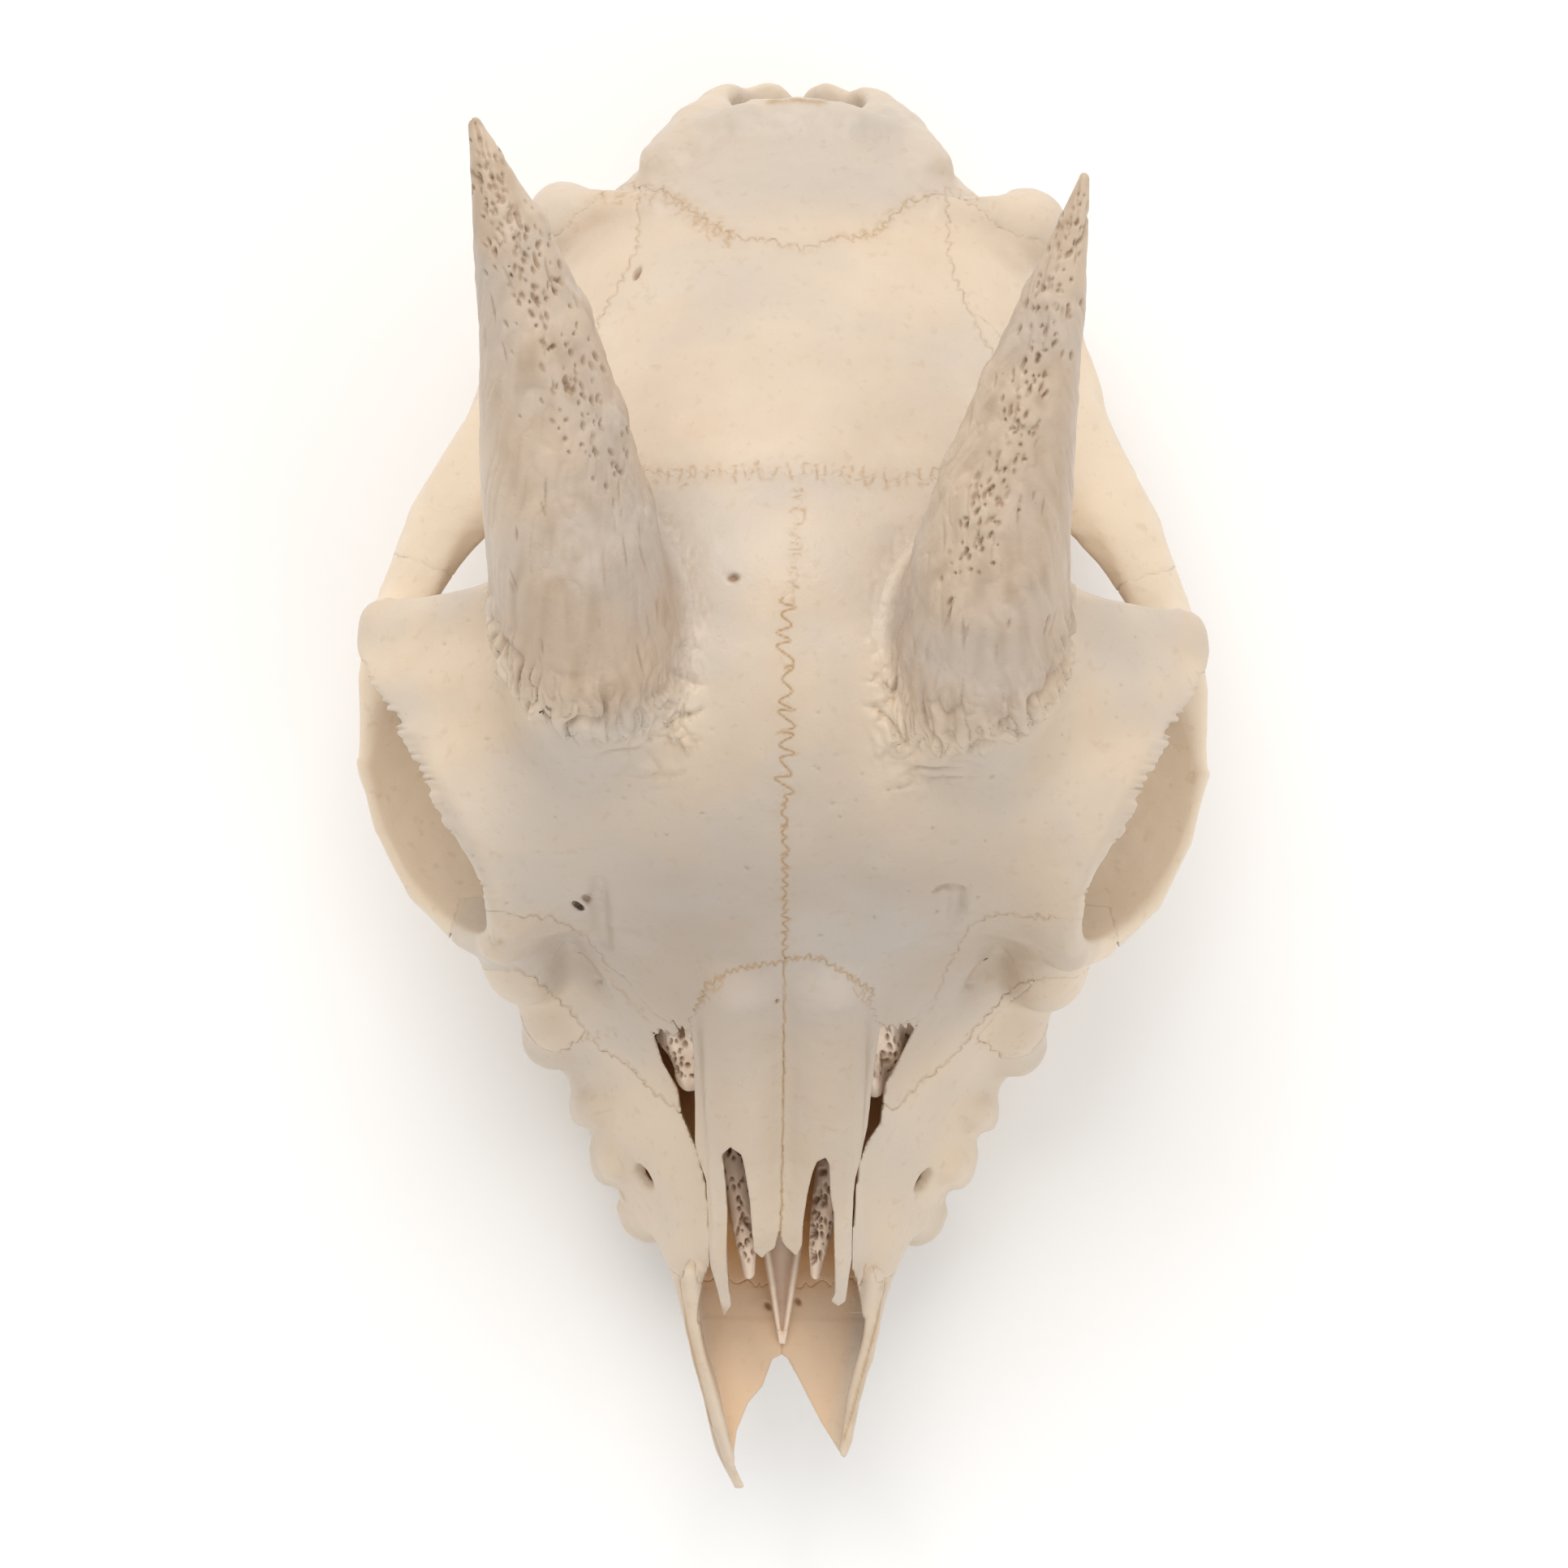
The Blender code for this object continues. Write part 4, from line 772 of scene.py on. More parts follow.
def largest_shell(points, faces):
    """The corners and faces of the one closed surface with the most faces."""
    label = np.arange(len(points))
    while True:
        lowest = label[faces].min(axis=1)
        before = label.copy()
        for column in range(faces.shape[1]):
            np.minimum.at(label, faces[:, column], lowest)
        label = label[label]
        if (label == before).all():
            break
    shells, counts = np.unique(label[faces[:, 0]], return_counts=True)
    kept = faces[label[faces[:, 0]] == shells[counts.argmax()]]
    used, renumbered = np.unique(kept, return_inverse=True)
    return points[used], renumbered.reshape(kept.shape)


def fewer_faces(mesh, most):
    """The same shape in no more than so many triangles."""
    count = 2 * len(mesh.polygons)
    if count <= most:
        return mesh
    thing = bpy.data.objects.new("thinned", mesh)
    scene.collection.objects.link(thing)
    thin = thing.modifiers.new("thin", "DECIMATE")
    thin.ratio = most / count
    graph = bpy.context.evaluated_depsgraph_get()
    result = bpy.data.meshes.new_from_object(thing.evaluated_get(graph))
    bpy.data.objects.remove(thing, do_unlink=True)
    return result


def corners_of(mesh):
    places = np.empty(len(mesh.vertices) * 3, np.float32)
    mesh.vertices.foreach_get("co", places)
    return places.reshape(-1, 3) / MM


def normals_of(mesh):
    aims = np.empty(len(mesh.vertices) * 3, np.float32)
    mesh.vertex_normals.foreach_get("vector", aims)
    return aims.reshape(-1, 3)


def move_corners(mesh, places):
    mesh.vertices.foreach_set("co", (places * MM).astype(np.float32).ravel())
    mesh.update()


body_distance = body_form()[2]


def paint(mesh, name, values):
    """Keeps a number from 0 to 1 for each corner, which the material reads by name."""
    layer = mesh.attributes.new(name, "FLOAT", "POINT")
    layer.data.foreach_set("value", np.clip(values, 0, 1).astype(np.float32))


# The softening reaches this far from a joint and this deep into it. In front of this place
# along Y the joints stand open and keep their edges.
SEAM_REACH = 0.8
SEAM_DEEP = 0.9
OPEN_FROM = -33.0


def soften_seams(mesh, clay):
    """Gives both sides of a closed joint the same normals, so that no edge shows along it."""
    places, aims = corners_of(mesh), normals_of(mesh)
    places[:, 0] -= askew(places[:, 1])
    at = clay.cells(places)
    share = np.clip(1.0 + clay.walls[at] / SEAM_REACH, 0, 1) * (clay.uncut[at] > -SEAM_DEEP)
    share = (share * np.clip((places[:, 1] - OPEN_FROM) / 3.0, 0, 1))[:, None]
    aims = aims * (1.001 - share) + clay.way_out(places) * share
    aims /= np.linalg.norm(aims, axis=1)[:, None]
    mesh.normals_split_custom_set_from_vertices(aims.tolist())


def bone_mesh(name, clay, most, holes=(), soften=True):
    """The surface of one bone's clay with its relief and holes, in so many triangles at most."""
    points, faces = largest_shell(*clay.skin())
    full = plain_mesh(name, points, faces)
    normals = normals_of(full) if clay.uncut is None else clay.way_out(points)
    folds = horn_relief(points)
    swell = weathering(points) + folds
    # Painted shade: holes are darkened inside, and the valleys between the folds a little.
    deep = np.clip(-0.55 * (folds + 0.15), 0, 0.4)
    for hole in holes:
        dent(points, normals, swell, deep, *hole)
    points = points + normals * swell[:, None]
    points[:, 2] = np.maximum(points[:, 2], 0.0)
    points[:, 0] += askew(points[:, 1])
    move_corners(full, points)
    paint(full, "deep", deep)
    mesh = fewer_faces(full, most)
    mesh.name = name
    mesh.polygons.foreach_set("use_smooth", np.ones(len(mesh.polygons), bool))
    if clay.walls is not None and soften:
        soften_seams(mesh, clay)
    return mesh


# How cool and grey the middle of the face is, with painted shade where the front of the brow faces away from
# the key light: place along Y and share.
BROW_COOL_AND_SHADE = ((-99, 0.3), (-60, 0.4), (-40, 0.6), (-27, 0.95), (-18, 1), (-6, 0.72), (10, 0.33), (30, 0.1),
             (45, 0))


def tones(points):
    """How grey the bone's tone is, greyest over the brow and nose, where painted shade darkens the front of
    the face that turns from the key light, and how warm, as on the arches.
    """
    x, y, z = points.T
    # Grey tone of the bone, and painted shade on the front of the brow and nose that faces away from the key
    # light.
    brow = smooth_curve(*zip(*BROW_COOL_AND_SHADE), y)
    brow = brow * np.exp(-(x / 33.0) ** 4) * np.clip((z - 36.0) / 12.0, 0.3, 1)
    patches = 0.5 + 0.5 * cloud(points, 14.0, 95)
    brow = brow * (0.75 + 0.35 * patches)
    nape = 0.95 * np.exp(-((y - 83.5) / 8.5) ** 4 - (x / 22.0) ** 4) * (0.8 + 0.4 * patches)
    for spot, wide, long in (((-8.3, 88.6), 5.4, 3.2), ((11.4, 87.0), 5.0, 4.2)):
        off = np.hypot((x - spot[0]) / wide, (y - spot[1]) / long) + 0.25 * cloud(points, 2.5, 96)
        nape = np.maximum(nape, np.clip((1.0 - off) * 4.0, 0, 1) * (z > 30))
    cheek = np.clip((np.abs(x) - 15.0) / 6.0, 0, 1) * np.clip((-36.0 - y) / 8.0, 0, 1)
    band = 0.45 * np.exp(-((y - 63.0) / 5.0) ** 2 - (x / 9.0) ** 2)
    band = np.maximum(band, 0.3 * np.exp(-((y - 57.0) / 15.0) ** 2 - (x / 24.0) ** 2))
    cool_and_shade = np.maximum(np.maximum(brow * (1 - 0.9 * cheek), nape), band)
    warm = np.clip((np.abs(x) - 34.0) / 8.0, 0, 1) * np.clip((66.0 - z) / 10.0, 0, 1)
    warm = np.maximum(warm, 0.22 * np.clip((58.0 - z) / 20.0, 0, 1))
    for number, room in enumerate(HORN_ROOMS.values()):
        reach, height = room.form(x, y, z), room.height(x, y, z)
        outside = np.maximum(reach, -height)
        cool_and_shade *= np.where(z > 60, np.clip(outside / 7.0, 0, 1), 1)
        near = np.flatnonzero((outside < 0) & (z > 70))
        on_horn = np.clip(height[near] / 7.0, 0, 1) * np.clip(-reach[near] / 1.6, 0, 1)
        cool_and_shade[near] = np.maximum(cool_and_shade[near], on_horn)
        streaks = room.lengthwise(points[near], 0.4) / (1.4, 1.9, 24.0)
        streaks = np.clip(0.25 + 0.9 * cloud(streaks, 1.0, 90 + number), 0, 1)
        warm[near] = np.maximum(warm[near], on_horn * streaks)
    return cool_and_shade, warm


def stroke_mask(points, normals, path, width):
    """1 on a line drawn on the upper side of the skull, falling to 0 beside it."""
    path = np.array(path, float)
    low, high = np.nanmin(path, axis=0) - 4 * width, np.nanmax(path, axis=0) + 4 * width
    u, v = np.arange(low[0], high[0] + 0.1, 0.1), np.arange(low[1], high[1] + 0.1, 0.1)
    away = np.full((len(u), len(v)), 9.0)
    for a, b in zip(path[:-1], path[1:]):
        if np.isnan(a[0] + b[0]):
            continue
        along = b - a
        span = [np.searchsorted(axis, (min(p, q) - 4 * width, max(p, q) + 4 * width))
                for axis, p, q in zip((u, v), a, b)]
        pu, pv = u[span[0][0]:span[0][1], None] - a[0], v[None, span[1][0]:span[1][1]] - a[1]
        t = np.clip((pu * along[0] + pv * along[1]) / max(along.dot(along), 1e-9), 0, 1)
        near = (pu - t * along[0]) ** 2 + (pv - t * along[1]) ** 2
        part = (slice(*span[0]), slice(*span[1]))
        away[part] = np.minimum(away[part], near)
    mask = np.zeros(len(points))
    inside = np.flatnonzero((points[:, 0] > low[0]) & (points[:, 0] < high[0]) & (points[:, 1] > low[1])
                            & (points[:, 1] < high[1]) & (normals[:, 2] > 0.0))
    i = np.clip(((points[inside, 0] - low[0]) / 0.1).round().astype(int), 0, len(u) - 1)
    j = np.clip(((points[inside, 1] - low[1]) / 0.1).round().astype(int), 0, len(v) - 1)
    mask[inside] = np.exp(-away[i, j] / width ** 2) * np.clip(normals[inside, 2] / 0.4, 0, 1)
    return mask


def place_bone(name, mesh, material, lines=(), stains=()):
    """Puts a finished bone in place of its CAD node, with its colour marks."""
    points, normals = corners_of(mesh), normals_of(mesh)
    for mark, strokes in (("line", lines), ("stain", stains)):
        drawn = np.zeros(len(points))
        for path, width, strength in strokes:
            drawn = np.maximum(drawn, strength * stroke_mask(points, normals, path, width))
        paint(mesh, mark, drawn)
    # Painted light: an orange glow stands in for light shining through the thin walls of the nose, and a
    # little painted warm light in all other hollows.
    x, y, z = points.T
    inside = -body_distance(np.abs(x), y, z)
    behind = np.clip((y + 74.0) / 12.0, 0.35, 1)
    shine_through_nose = np.clip((inside - 1.4) / 2.0, 0, 1) * np.clip((-22.0 - y) / 3.0, 0, 1) * (z > 22) * behind
    glow_in_hollows = 0.45 * np.clip((inside - 3.0) / 7.0, 0, 1)
    paint(mesh, "inside", np.maximum(shine_through_nose, glow_in_hollows))
    # Cool grey tone with painted shade over the front of the face, and warm tone.
    cool_and_shade, warm = tones(points)
    paint(mesh, "cool_and_shade", cool_and_shade)
    paint(mesh, "warm", warm)
    bone = bpy.data.objects.new("bone_" + name, mesh)
    scene.collection.objects.link(bone)
    mesh.materials.append(material)
    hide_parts(name)
    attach(bone, "root")


def carve(name, room, cell, most, material, holes=(), lines=(), stains=()):
    """Parts a bone off the clay, gives it its surface and puts it in its place."""
    mesh = bone_mesh(name, part_off(name, room, cell), most, holes)
    place_bone(name, mesh, material, lines, stains)


class Wiring:
    """Adds nodes to one tree, with their inputs set to a value or joined to another node."""

    def __init__(self, tree):
        self.tree = tree

    def sockets(self, ins, outs):
        for name, kind, value in ins:
            socket = self.tree.interface.new_socket(name=name, in_out="INPUT", socket_type=kind)
            if value is not None:
                socket.default_value = value
        for name, kind in outs:
            self.tree.interface.new_socket(name=name, in_out="OUTPUT", socket_type=kind)

    def fill(self, node, inputs):
        for name, value in inputs.items():
            if isinstance(value, bpy.types.NodeSocket):
                self.tree.links.new(value, node.inputs[name])
            else:
                node.inputs[name].default_value = value

    def add(self, kind, inputs, **settings):
        node = self.tree.nodes.new(kind)
        for name, value in settings.items():
            setattr(node, name, value)
        self.fill(node, inputs)
        return node.outputs

    def noise(self, place, scale, detail, rough=0.55):
        return self.add("ShaderNodeTexNoise", {"Vector": place, "Scale": scale, "Detail": detail,
                                               "Roughness": rough})["Fac"]

    def ramp(self, value, low, high):
        return self.add("ShaderNodeMapRange", {"Value": value, "From Min": low, "From Max": high})["Result"]

    def sums(self, kind, a, b):
        return self.add("ShaderNodeMath", {0: a, 1: b}, operation=kind)[0]

    def mix(self, share, a, b):
        return self.add("ShaderNodeMix", {"Factor": share, "A": a, "B": b}, data_type="RGBA")["Result"]


# The tones of plain dry bone, which each part of the skull may shift, with a painted glow for the hollows of
# the nose, a painted shade for pits and a cool grey that also carries painted shade.
BONE_TONES = {
    "Colour": (0.665, 0.53, 0.395), "Pale": (0.715, 0.59, 0.455), "Grey": (0.52, 0.47, 0.425),
    "Ochre": (0.43, 0.27, 0.13), "Painted glow": (0.81, 0.455, 0.185), "Cool and shade": (0.545, 0.445, 0.355),
    "Warm": (0.79, 0.65, 0.49), "Pit shade": (0.30, 0.18, 0.10),
}


def bone_surface_group():
    """Colour, roughness and fine relief of dry bone, from its marks and the place on it."""
    tree = bpy.data.node_groups.new("dry bone", "ShaderNodeTree")
    wiring = Wiring(tree)
    wiring.sockets(
        [(name, "NodeSocketColor", (*tone, 1.0)) for name, tone in BONE_TONES.items()]
        + [("Grey share", "NodeSocketFloat", 0.3), ("Grain", "NodeSocketFloat", 1.0),
           ("Pores", "NodeSocketFloat", 0.3)],
        (("Color", "NodeSocketColor"), ("Roughness", "NodeSocketFloat"), ("Height", "NodeSocketFloat")),
    )
    given = wiring.add("NodeGroupInput", {})
    place = wiring.add("ShaderNodeTexCoord", {})["Object"]
    ramp, sums, mix = wiring.ramp, wiring.sums, wiring.mix

    def noise(scale, detail, rough=0.55):
        return wiring.noise(place, scale, detail, rough)

    def mark(name):
        return wiring.add("ShaderNodeAttribute", {}, attribute_name=name)["Fac"]

    colour = mix(ramp(noise(75.0, 3.0), 0.35, 0.68), given["Colour"], given["Pale"])
    # Cool grey tone, which over the front of the face is also painted shade.
    colour = mix(mark("cool_and_shade"), colour, given["Cool and shade"])
    colour = mix(mark("warm"), colour, given["Warm"])
    grey = sums("MULTIPLY", ramp(noise(48.0, 2.0), 0.42, 0.66), given["Grey share"])
    colour = mix(grey, colour, given["Grey"])
    fleck = ramp(noise(620.0, 2.0), 0.60, 0.72)
    colour = mix(sums("MULTIPLY", fleck, 0.16), colour, given["Ochre"])
    stained = sums("MULTIPLY", mark("stain"), ramp(noise(420.0, 3.0), 0.30, 0.62))
    colour = mix(stained, colour, given["Ochre"])
    colour = mix(mark("line"), colour, given["Ochre"])
    # Painted glow of light through the nose's thin walls and in hollows.
    colour = mix(mark("inside"), colour, given["Painted glow"])
    # Painted shade inside pits and in the valleys between folds.
    colour = mix(sums("MULTIPLY", mark("deep"), 0.85), colour, given["Pit shade"])
    roughness = ramp(noise(300.0, 3.0), -0.6, 2.2)

    pits = wiring.add("ShaderNodeTexVoronoi", {"Vector": place, "Scale": 900.0})["Distance"]
    holes = sums("MULTIPLY", ramp(pits, 0.26, 0.08), ramp(noise(210.0, 2.0), 0.5, 0.64))
    grain = sums("ADD", sums("MULTIPLY", noise(1500.0, 3.0, 0.6), 0.5), noise(520.0, 4.0, 0.6))
    grain = sums("MULTIPLY", grain, given["Grain"])
    height = sums("SUBTRACT", grain, sums("MULTIPLY", holes, given["Pores"]))
    wiring.add("NodeGroupOutput", {"Color": colour, "Roughness": roughness, "Height": height})
    return tree


dry_bone = bone_surface_group()
# How high the fine relief stands, in metres.
RELIEF = 0.00018


def bone_material(name, grey_share, grain, pores, tones_of=()):
    """Dry bone of one part of the skull, with the tones in which it differs."""
    material = bpy.data.materials.new(name)
    material.use_nodes = True
    wiring = Wiring(material.node_tree)
    shares = {"Grey share": grey_share, "Grain": grain, "Pores": pores}
    colours = {socket: (*tone, 1.0) for socket, tone in {**BONE_TONES, **dict(tones_of)}.items()}
    bone = wiring.add("ShaderNodeGroup", {**colours, **shares}, node_tree=dry_bone)
    bump = wiring.add("ShaderNodeBump", {"Strength": 0.5, "Distance": RELIEF, "Height": bone["Height"]})
    wiring.fill(material.node_tree.nodes["Principled BSDF"], {
        "Base Color": bone["Color"], "Roughness": bone["Roughness"], "Normal": bump["Normal"],
        "Specular IOR Level": 0.35,
    })
    return material


horn_bone = bone_material("horn bone", 0.6, 1.1, 0.5, {
    "Cool and shade": (0.54, 0.42, 0.315), "Warm": (0.45, 0.335, 0.235), "Pit shade": (0.36, 0.24, 0.15),
})
# The stripe of pores along each horn: its line seen from above, its spread and their number.
PORE_STRIPES = {
    "right": (((-39.9, 78.8), (-34.7, 68.0), (-28.5, 53.0), (-21.2, 37.7)), 4.2, 270),
    "left": (((35.1, 72.5), (31.3, 56.8), (28.5, 42.5), (21.7, 25.9)), 3.4, 210),
}
LONG_PORES = 44


def horn_pores(side):
    """Places of the pores: thick in a stripe along the horn, long and few beside it."""
    line, spread, count = PORE_STRIPES[side]
    line = np.array(line)
    path = np.array(HORN_PATHS[side])
    dice = np.random.default_rng(7 if side == "left" else 8)
    made = []
    for i in range(count):
        share = dice.random() ** 1.25 * (len(line) - 1)
        k = min(int(share), len(line) - 2)
        spot = line[k] + (line[k + 1] - line[k]) * (share - k)
        spot = spot + dice.normal(0, spread * 0.5, 2)
        aim = line[k] - line[k + 1]
        heading = math.atan2(aim[1], aim[0]) + dice.normal(0, 0.15)
        wide = dice.uniform(0.13, 0.27)
        made.append((spot, heading, wide * dice.uniform(1.1, 3.0), wide, dice.uniform(0.2, 0.55)))
    for i in range(LONG_PORES):
        share = dice.random() * (len(path) - 1)
        k = min(int(share), len(path) - 2)
        middle = path[k] + (path[k + 1] - path[k]) * (share - k)
        spot = middle[:2] + dice.uniform(-1, 1, 2) * middle[3]
        aim = path[k + 1] - path[k]
        heading = math.atan2(aim[1], aim[0]) + dice.normal(0, 0.1)
        facing = 0.15 if i % 3 else -1.0
        made.append((spot, heading, dice.uniform(0.5, 2.2), dice.uniform(0.12, 0.2), dice.uniform(0.12, 0.3),
                     facing))
    return made


# The clay's grain where much detail shows, where less does, and on plain bones.
FINE, MIDDLING, PLAIN = 0.25, 0.3, 0.35
for side in HORN_PATHS:
    core = part_off("horn_core_" + side, HORN_ROOMS[side], FINE, 3 * FUSED)
    mesh = bone_mesh("horn_core_" + side, core, 155000, horn_pores(side))
    place_bone("horn_core_" + side, mesh, horn_bone)

# The nasal bones, two slender tapering plates side by side that end in a point and an
# outer prong each. Fine wavy joints hold them to the frontal bones.
NASAL_BESIDE = ((-76, 27), (-50, 39), (-21, 56), (-21, 140), (-76, 140))


def measured(path):
    """A path's points, and how far along the path each of them lies."""
    path = np.array(path, float)
    return path, np.concatenate(([0.0], np.cumsum(np.linalg.norm(np.diff(path, axis=0), axis=1))))


def spots_on(path, run, at):
    """Places so far along a measured path."""
    return np.stack([np.interp(at, run, path[:, i]) for i in range(2)], axis=-1)


def suture(path, reach, pitch, seed):
    """A path made to wander from side to side, as the joint line of two bones does."""
    path, run = measured(path)
    dice = np.random.default_rng(seed)
    count = max(2, int(round(run[-1] / (pitch / 2))))
    knots = np.linspace(0, run[-1], count + 1)
    knots[1:-1] += dice.uniform(-0.16, 0.16, count - 1) * pitch
    swing = np.where(np.arange(count + 1) % 2, 1.0, -1.0) * dice.uniform(0.35, 1.0, count + 1)
    lean = dice.uniform(-0.35, 0.35, count + 1) * pitch
    swing[[0, -1]] = 0.0
    lean[[0, -1]] = 0.0
    fine = np.linspace(0, run[-1], max(4, int(run[-1] / 0.18)))
    bent = smooth_curve(knots, swing, fine) * reach
    ahead = smooth_curve(knots, lean, fine)
    spots = spots_on(path, run, fine)
    aims = np.gradient(spots, axis=0)
    aims /= np.linalg.norm(aims, axis=1)[:, None] + 1e-9
    sides = np.stack((-aims[:, 1], aims[:, 0]), axis=1)
    return [tuple(spot) for spot in spots + sides * bent[:, None] + aims * ahead[:, None]]


BREAK = (math.nan, math.nan)


def loops(path, reach, pitch, seed, joined=0.5):
    """Short strokes across a path, some joined into loops, as an old closing suture shows."""
    path, run = measured(path)
    dice = np.random.default_rng(seed)
    made, at, up = [], 0.0, True
    while at < run[-1]:
        spot = spots_on(path, run, at)
        ahead = spots_on(path, run, at + 0.5) - spot
        ahead = ahead / (np.linalg.norm(ahead) + 1e-9) if at + 0.5 < run[-1] else np.array((1.0, 0.0))
        side = np.array((-ahead[1], ahead[0])) * (1 if up else -1)
        lean = ahead * dice.uniform(-0.3, 0.3) * reach
        start = spot - side * reach * dice.uniform(0.5, 1.0) - lean
        end = spot + side * reach * dice.uniform(0.5, 1.0) + lean
        bow = ahead * dice.uniform(-0.25, 0.25)
        made += [start, (start + spot) / 2 + bow, spot + bow, (spot + end) / 2 - bow / 2, end]
        if dice.random() > joined:
            made.append(np.array(BREAK))
        up = not up
        at += pitch * dice.uniform(0.5, 1.5)
    return [tuple(spot) for spot in made]


NASAL_LEFT = (
    suture(((0, -23.1), (3.1, -22.5), (5.8, -23.3), (9, -25.3), (11.7, -26.9), (11.4, -28.5), (12.8, -31.4)),
           0.5, 1.0, 3)
    + [(12.4, -34.5), (11.3, -45.5), (10.7, -48.4), (9.8, -52.2), (9.6, -58.2), (9.6, -63.3), (9.2, -65.8),
       (8.8, -69.1), (7.9, -69.7), (7.0, -69.0), (7.5, -68.1), (7.4, -62.2), (7.2, -57), (6.7, -54.7),
       (6.4, -50.2), (5.9, -49.3), (4.7, -49.9), (4.1, -51.5), (3.5, -54.3), (3, -58.3), (2.9, -61.3),
       (2.2, -62.9), (0.7, -61.5), (0, -60.3)]
    + suture(((0, -58), (0.1, -40), (0, -23.1)), 0.12, 2.5, 4)
)
NASAL_RIGHT = (
    suture(((0.4, -23.1), (-0.1, -23.3), (-2.8, -23.7), (-6.5, -24.5), (-10.2, -26.7), (-11, -28.8),
            (-12.2, -32)), 0.5, 1.0, 5)
    + [(-11.7, -35.9), (-11.4, -48.2), (-10, -53.2), (-9.5, -60.5), (-9.1, -64.5), (-8.3, -67.3),
       (-7.4, -71.4), (-6.5, -69.8), (-6.9, -66.9), (-7.2, -62.4), (-7.2, -57.2), (-7.5, -52.9),
       (-7.9, -49.2), (-6.7, -48), (-5.2, -49.1), (-4.7, -51.4), (-4, -55.6), (-3.7, -59.3), (-3.4, -62.3),
       (-2.4, -63.2), (-1.8, -62.5), (-0.8, -61.9), (-0.3, -59.5), (0.8, -59.0), (1.2, -23.1)]
)
# Lines drawn on the bone: path, width and strength.
NASAL_LINES = [
    (NASAL_LEFT[:80], 0.12, 0.8), (NASAL_RIGHT[:85], 0.12, 0.8),
    (suture(((0.1, -61), (0.2, -45), (0.1, -23.1)), 0.12, 2.5, 4), 0.13, 0.9),
    (loops(((9, -25.3), (11.4, -28.5)), 0.9, 0.9, 6), 0.1, 0.6),
    (loops(((-8.5, -25.6), (-11, -28.8)), 0.9, 0.9, 7), 0.1, 0.6),
]
NASAL_HOLES = {"left": (), "right": (((-0.9, -28.6), 1.5, 0.3, 0.22, 0.5),)}
face_bone = bone_material("face bone", 0.6, 0.8, 0.4, {"Cool and shade": (0.455, 0.375, 0.305)})
for side, outline in (("left", NASAL_LEFT), ("right", NASAL_RIGHT)):
    carve("nasal_" + side, Room([(outline, NASAL_BESIDE)]), FINE, 60000, face_bone,
          NASAL_HOLES[side], NASAL_LINES)
# The open front of the nose, and the gap on each side towards the frontal and the maxilla.
GAP_BESIDE = ((-52, 36), (-30, 46), (-30, 140), (-52, 140))
for outline, beside in (
    (((-10.9, -49.8), (-10, -54.2), (-9.4, -60.5), (-9.1, -64), (-10.2, -66.7), (-10.9, -70.2),
      (-11.0, -72.6), (11.4, -72.6), (11.2, -71), (10.4, -66.7), (9.6, -64.5), (9.8, -58), (10.2, -52),
      (10, -47), (-10, -47)),
     ((-80, 29), (-70, 31), (-60, 36), (-46, 40), (-46, 140), (-80, 140))),
    ((*suture(((11.9, -32.6), (17.7, -31.4)), 0.75, 1.1, 51), (16.5, -34.2), (15.0, -37.2), (13.7, -39.6),
      (13.3, -42.9), (13.1, -45.0), (11.3, -47.7), (9.9, -51.5), (9, -50), (9, -33)), GAP_BESIDE),
    ((*suture(((-11.9, -33.2), (-17.4, -32.9)), 0.7, 1.1, 52), (-16.0, -37.2), (-13.9, -40.9),
      (-13.3, -44.3), (-11.8, -47.7), (-10.6, -50), (-9, -50), (-9, -33)), GAP_BESIDE),
):
    parted.append((Room([(outline, beside)]), 0.0))

# The frontal bones, the broad roof of the face with the brow over each orbit. They meet in
# a joint that zigzags down the middle, and end against the parietal in a deeply toothed one.
ROOF = ((-100, 44), (-20, 55), (-9, 51), (3, 49), (14, 54), (26, 57), (36, 64), (60, 70), (60, 140),
        (-100, 140))
METOPIC = (
    suture(((1.0, 40), (1.0, 34), (0.6, 28)), 0.7, 1.5, 11)
    + suture(((0.6, 28), (-0.3, 22), (0, 14), (0, 7), (-0.3, -1.5)), 1.3, 2.1, 12)
    + suture(((-0.3, -1.5), (0, -9), (0, -18), (0, -23.1)), 0.5, 1.2, 13)
)
CORONAL_LEFT = suture(((34, 40), (22, 40.2), (12, 39.6), (4, 40.3), (1.0, 40)), 0.5, 1.6, 14)
CORONAL_RIGHT = suture(((1.0, 40), (-6, 40.4), (-14, 39.7), (-22, 40.4), (-34, 40)), 0.5, 1.6, 15)
CORONAL = ((30, 40.2), (22, 40.2), (12, 39.6), (4, 40.3), (-6, 40.4), (-14, 39.7), (-22, 40.4), (-30, 40.2))
CORONAL_LINES = [(loops(CORONAL, 1.5, 1.45, 41, 0.3), 0.13, 0.62)]
# The joints with the lacrimal bones, and the lacrimal bones' own with the maxillae.
ORBIT_SEAM_LEFT = suture(((17.7, -31.8), (19.8, -29.1), (21.3, -24.7), (22.8, -21.4), (24.3, -18.2),
                          (28, -16.5), (32.3, -17), (35.5, -17)), 0.35, 1.4, 17)
ORBIT_SEAM_RIGHT = suture(((-17.7, -31.7), (-22.5, -26.9), (-24.1, -23.1), (-26.8, -19.9), (-30.5, -17.9),
                           (-34.8, -17.7)), 0.35, 1.4, 19)
TEAR_SEAM_LEFT = suture(((34.5, -25.0), (30.7, -26.4), (26.4, -31.3), (23.2, -35.7), (17.9, -40.1),
                         (14.7, -43.3)), 0.35, 1.6, 31)
TEAR_SEAM_RIGHT = suture(((-13.5, -43.9), (-17.6, -41.1), (-20.9, -37.4), (-24.2, -35.8), (-28.6, -30.4),
                          (-32.9, -26.2), (-35.5, -25.2)), 0.35, 1.6, 32)
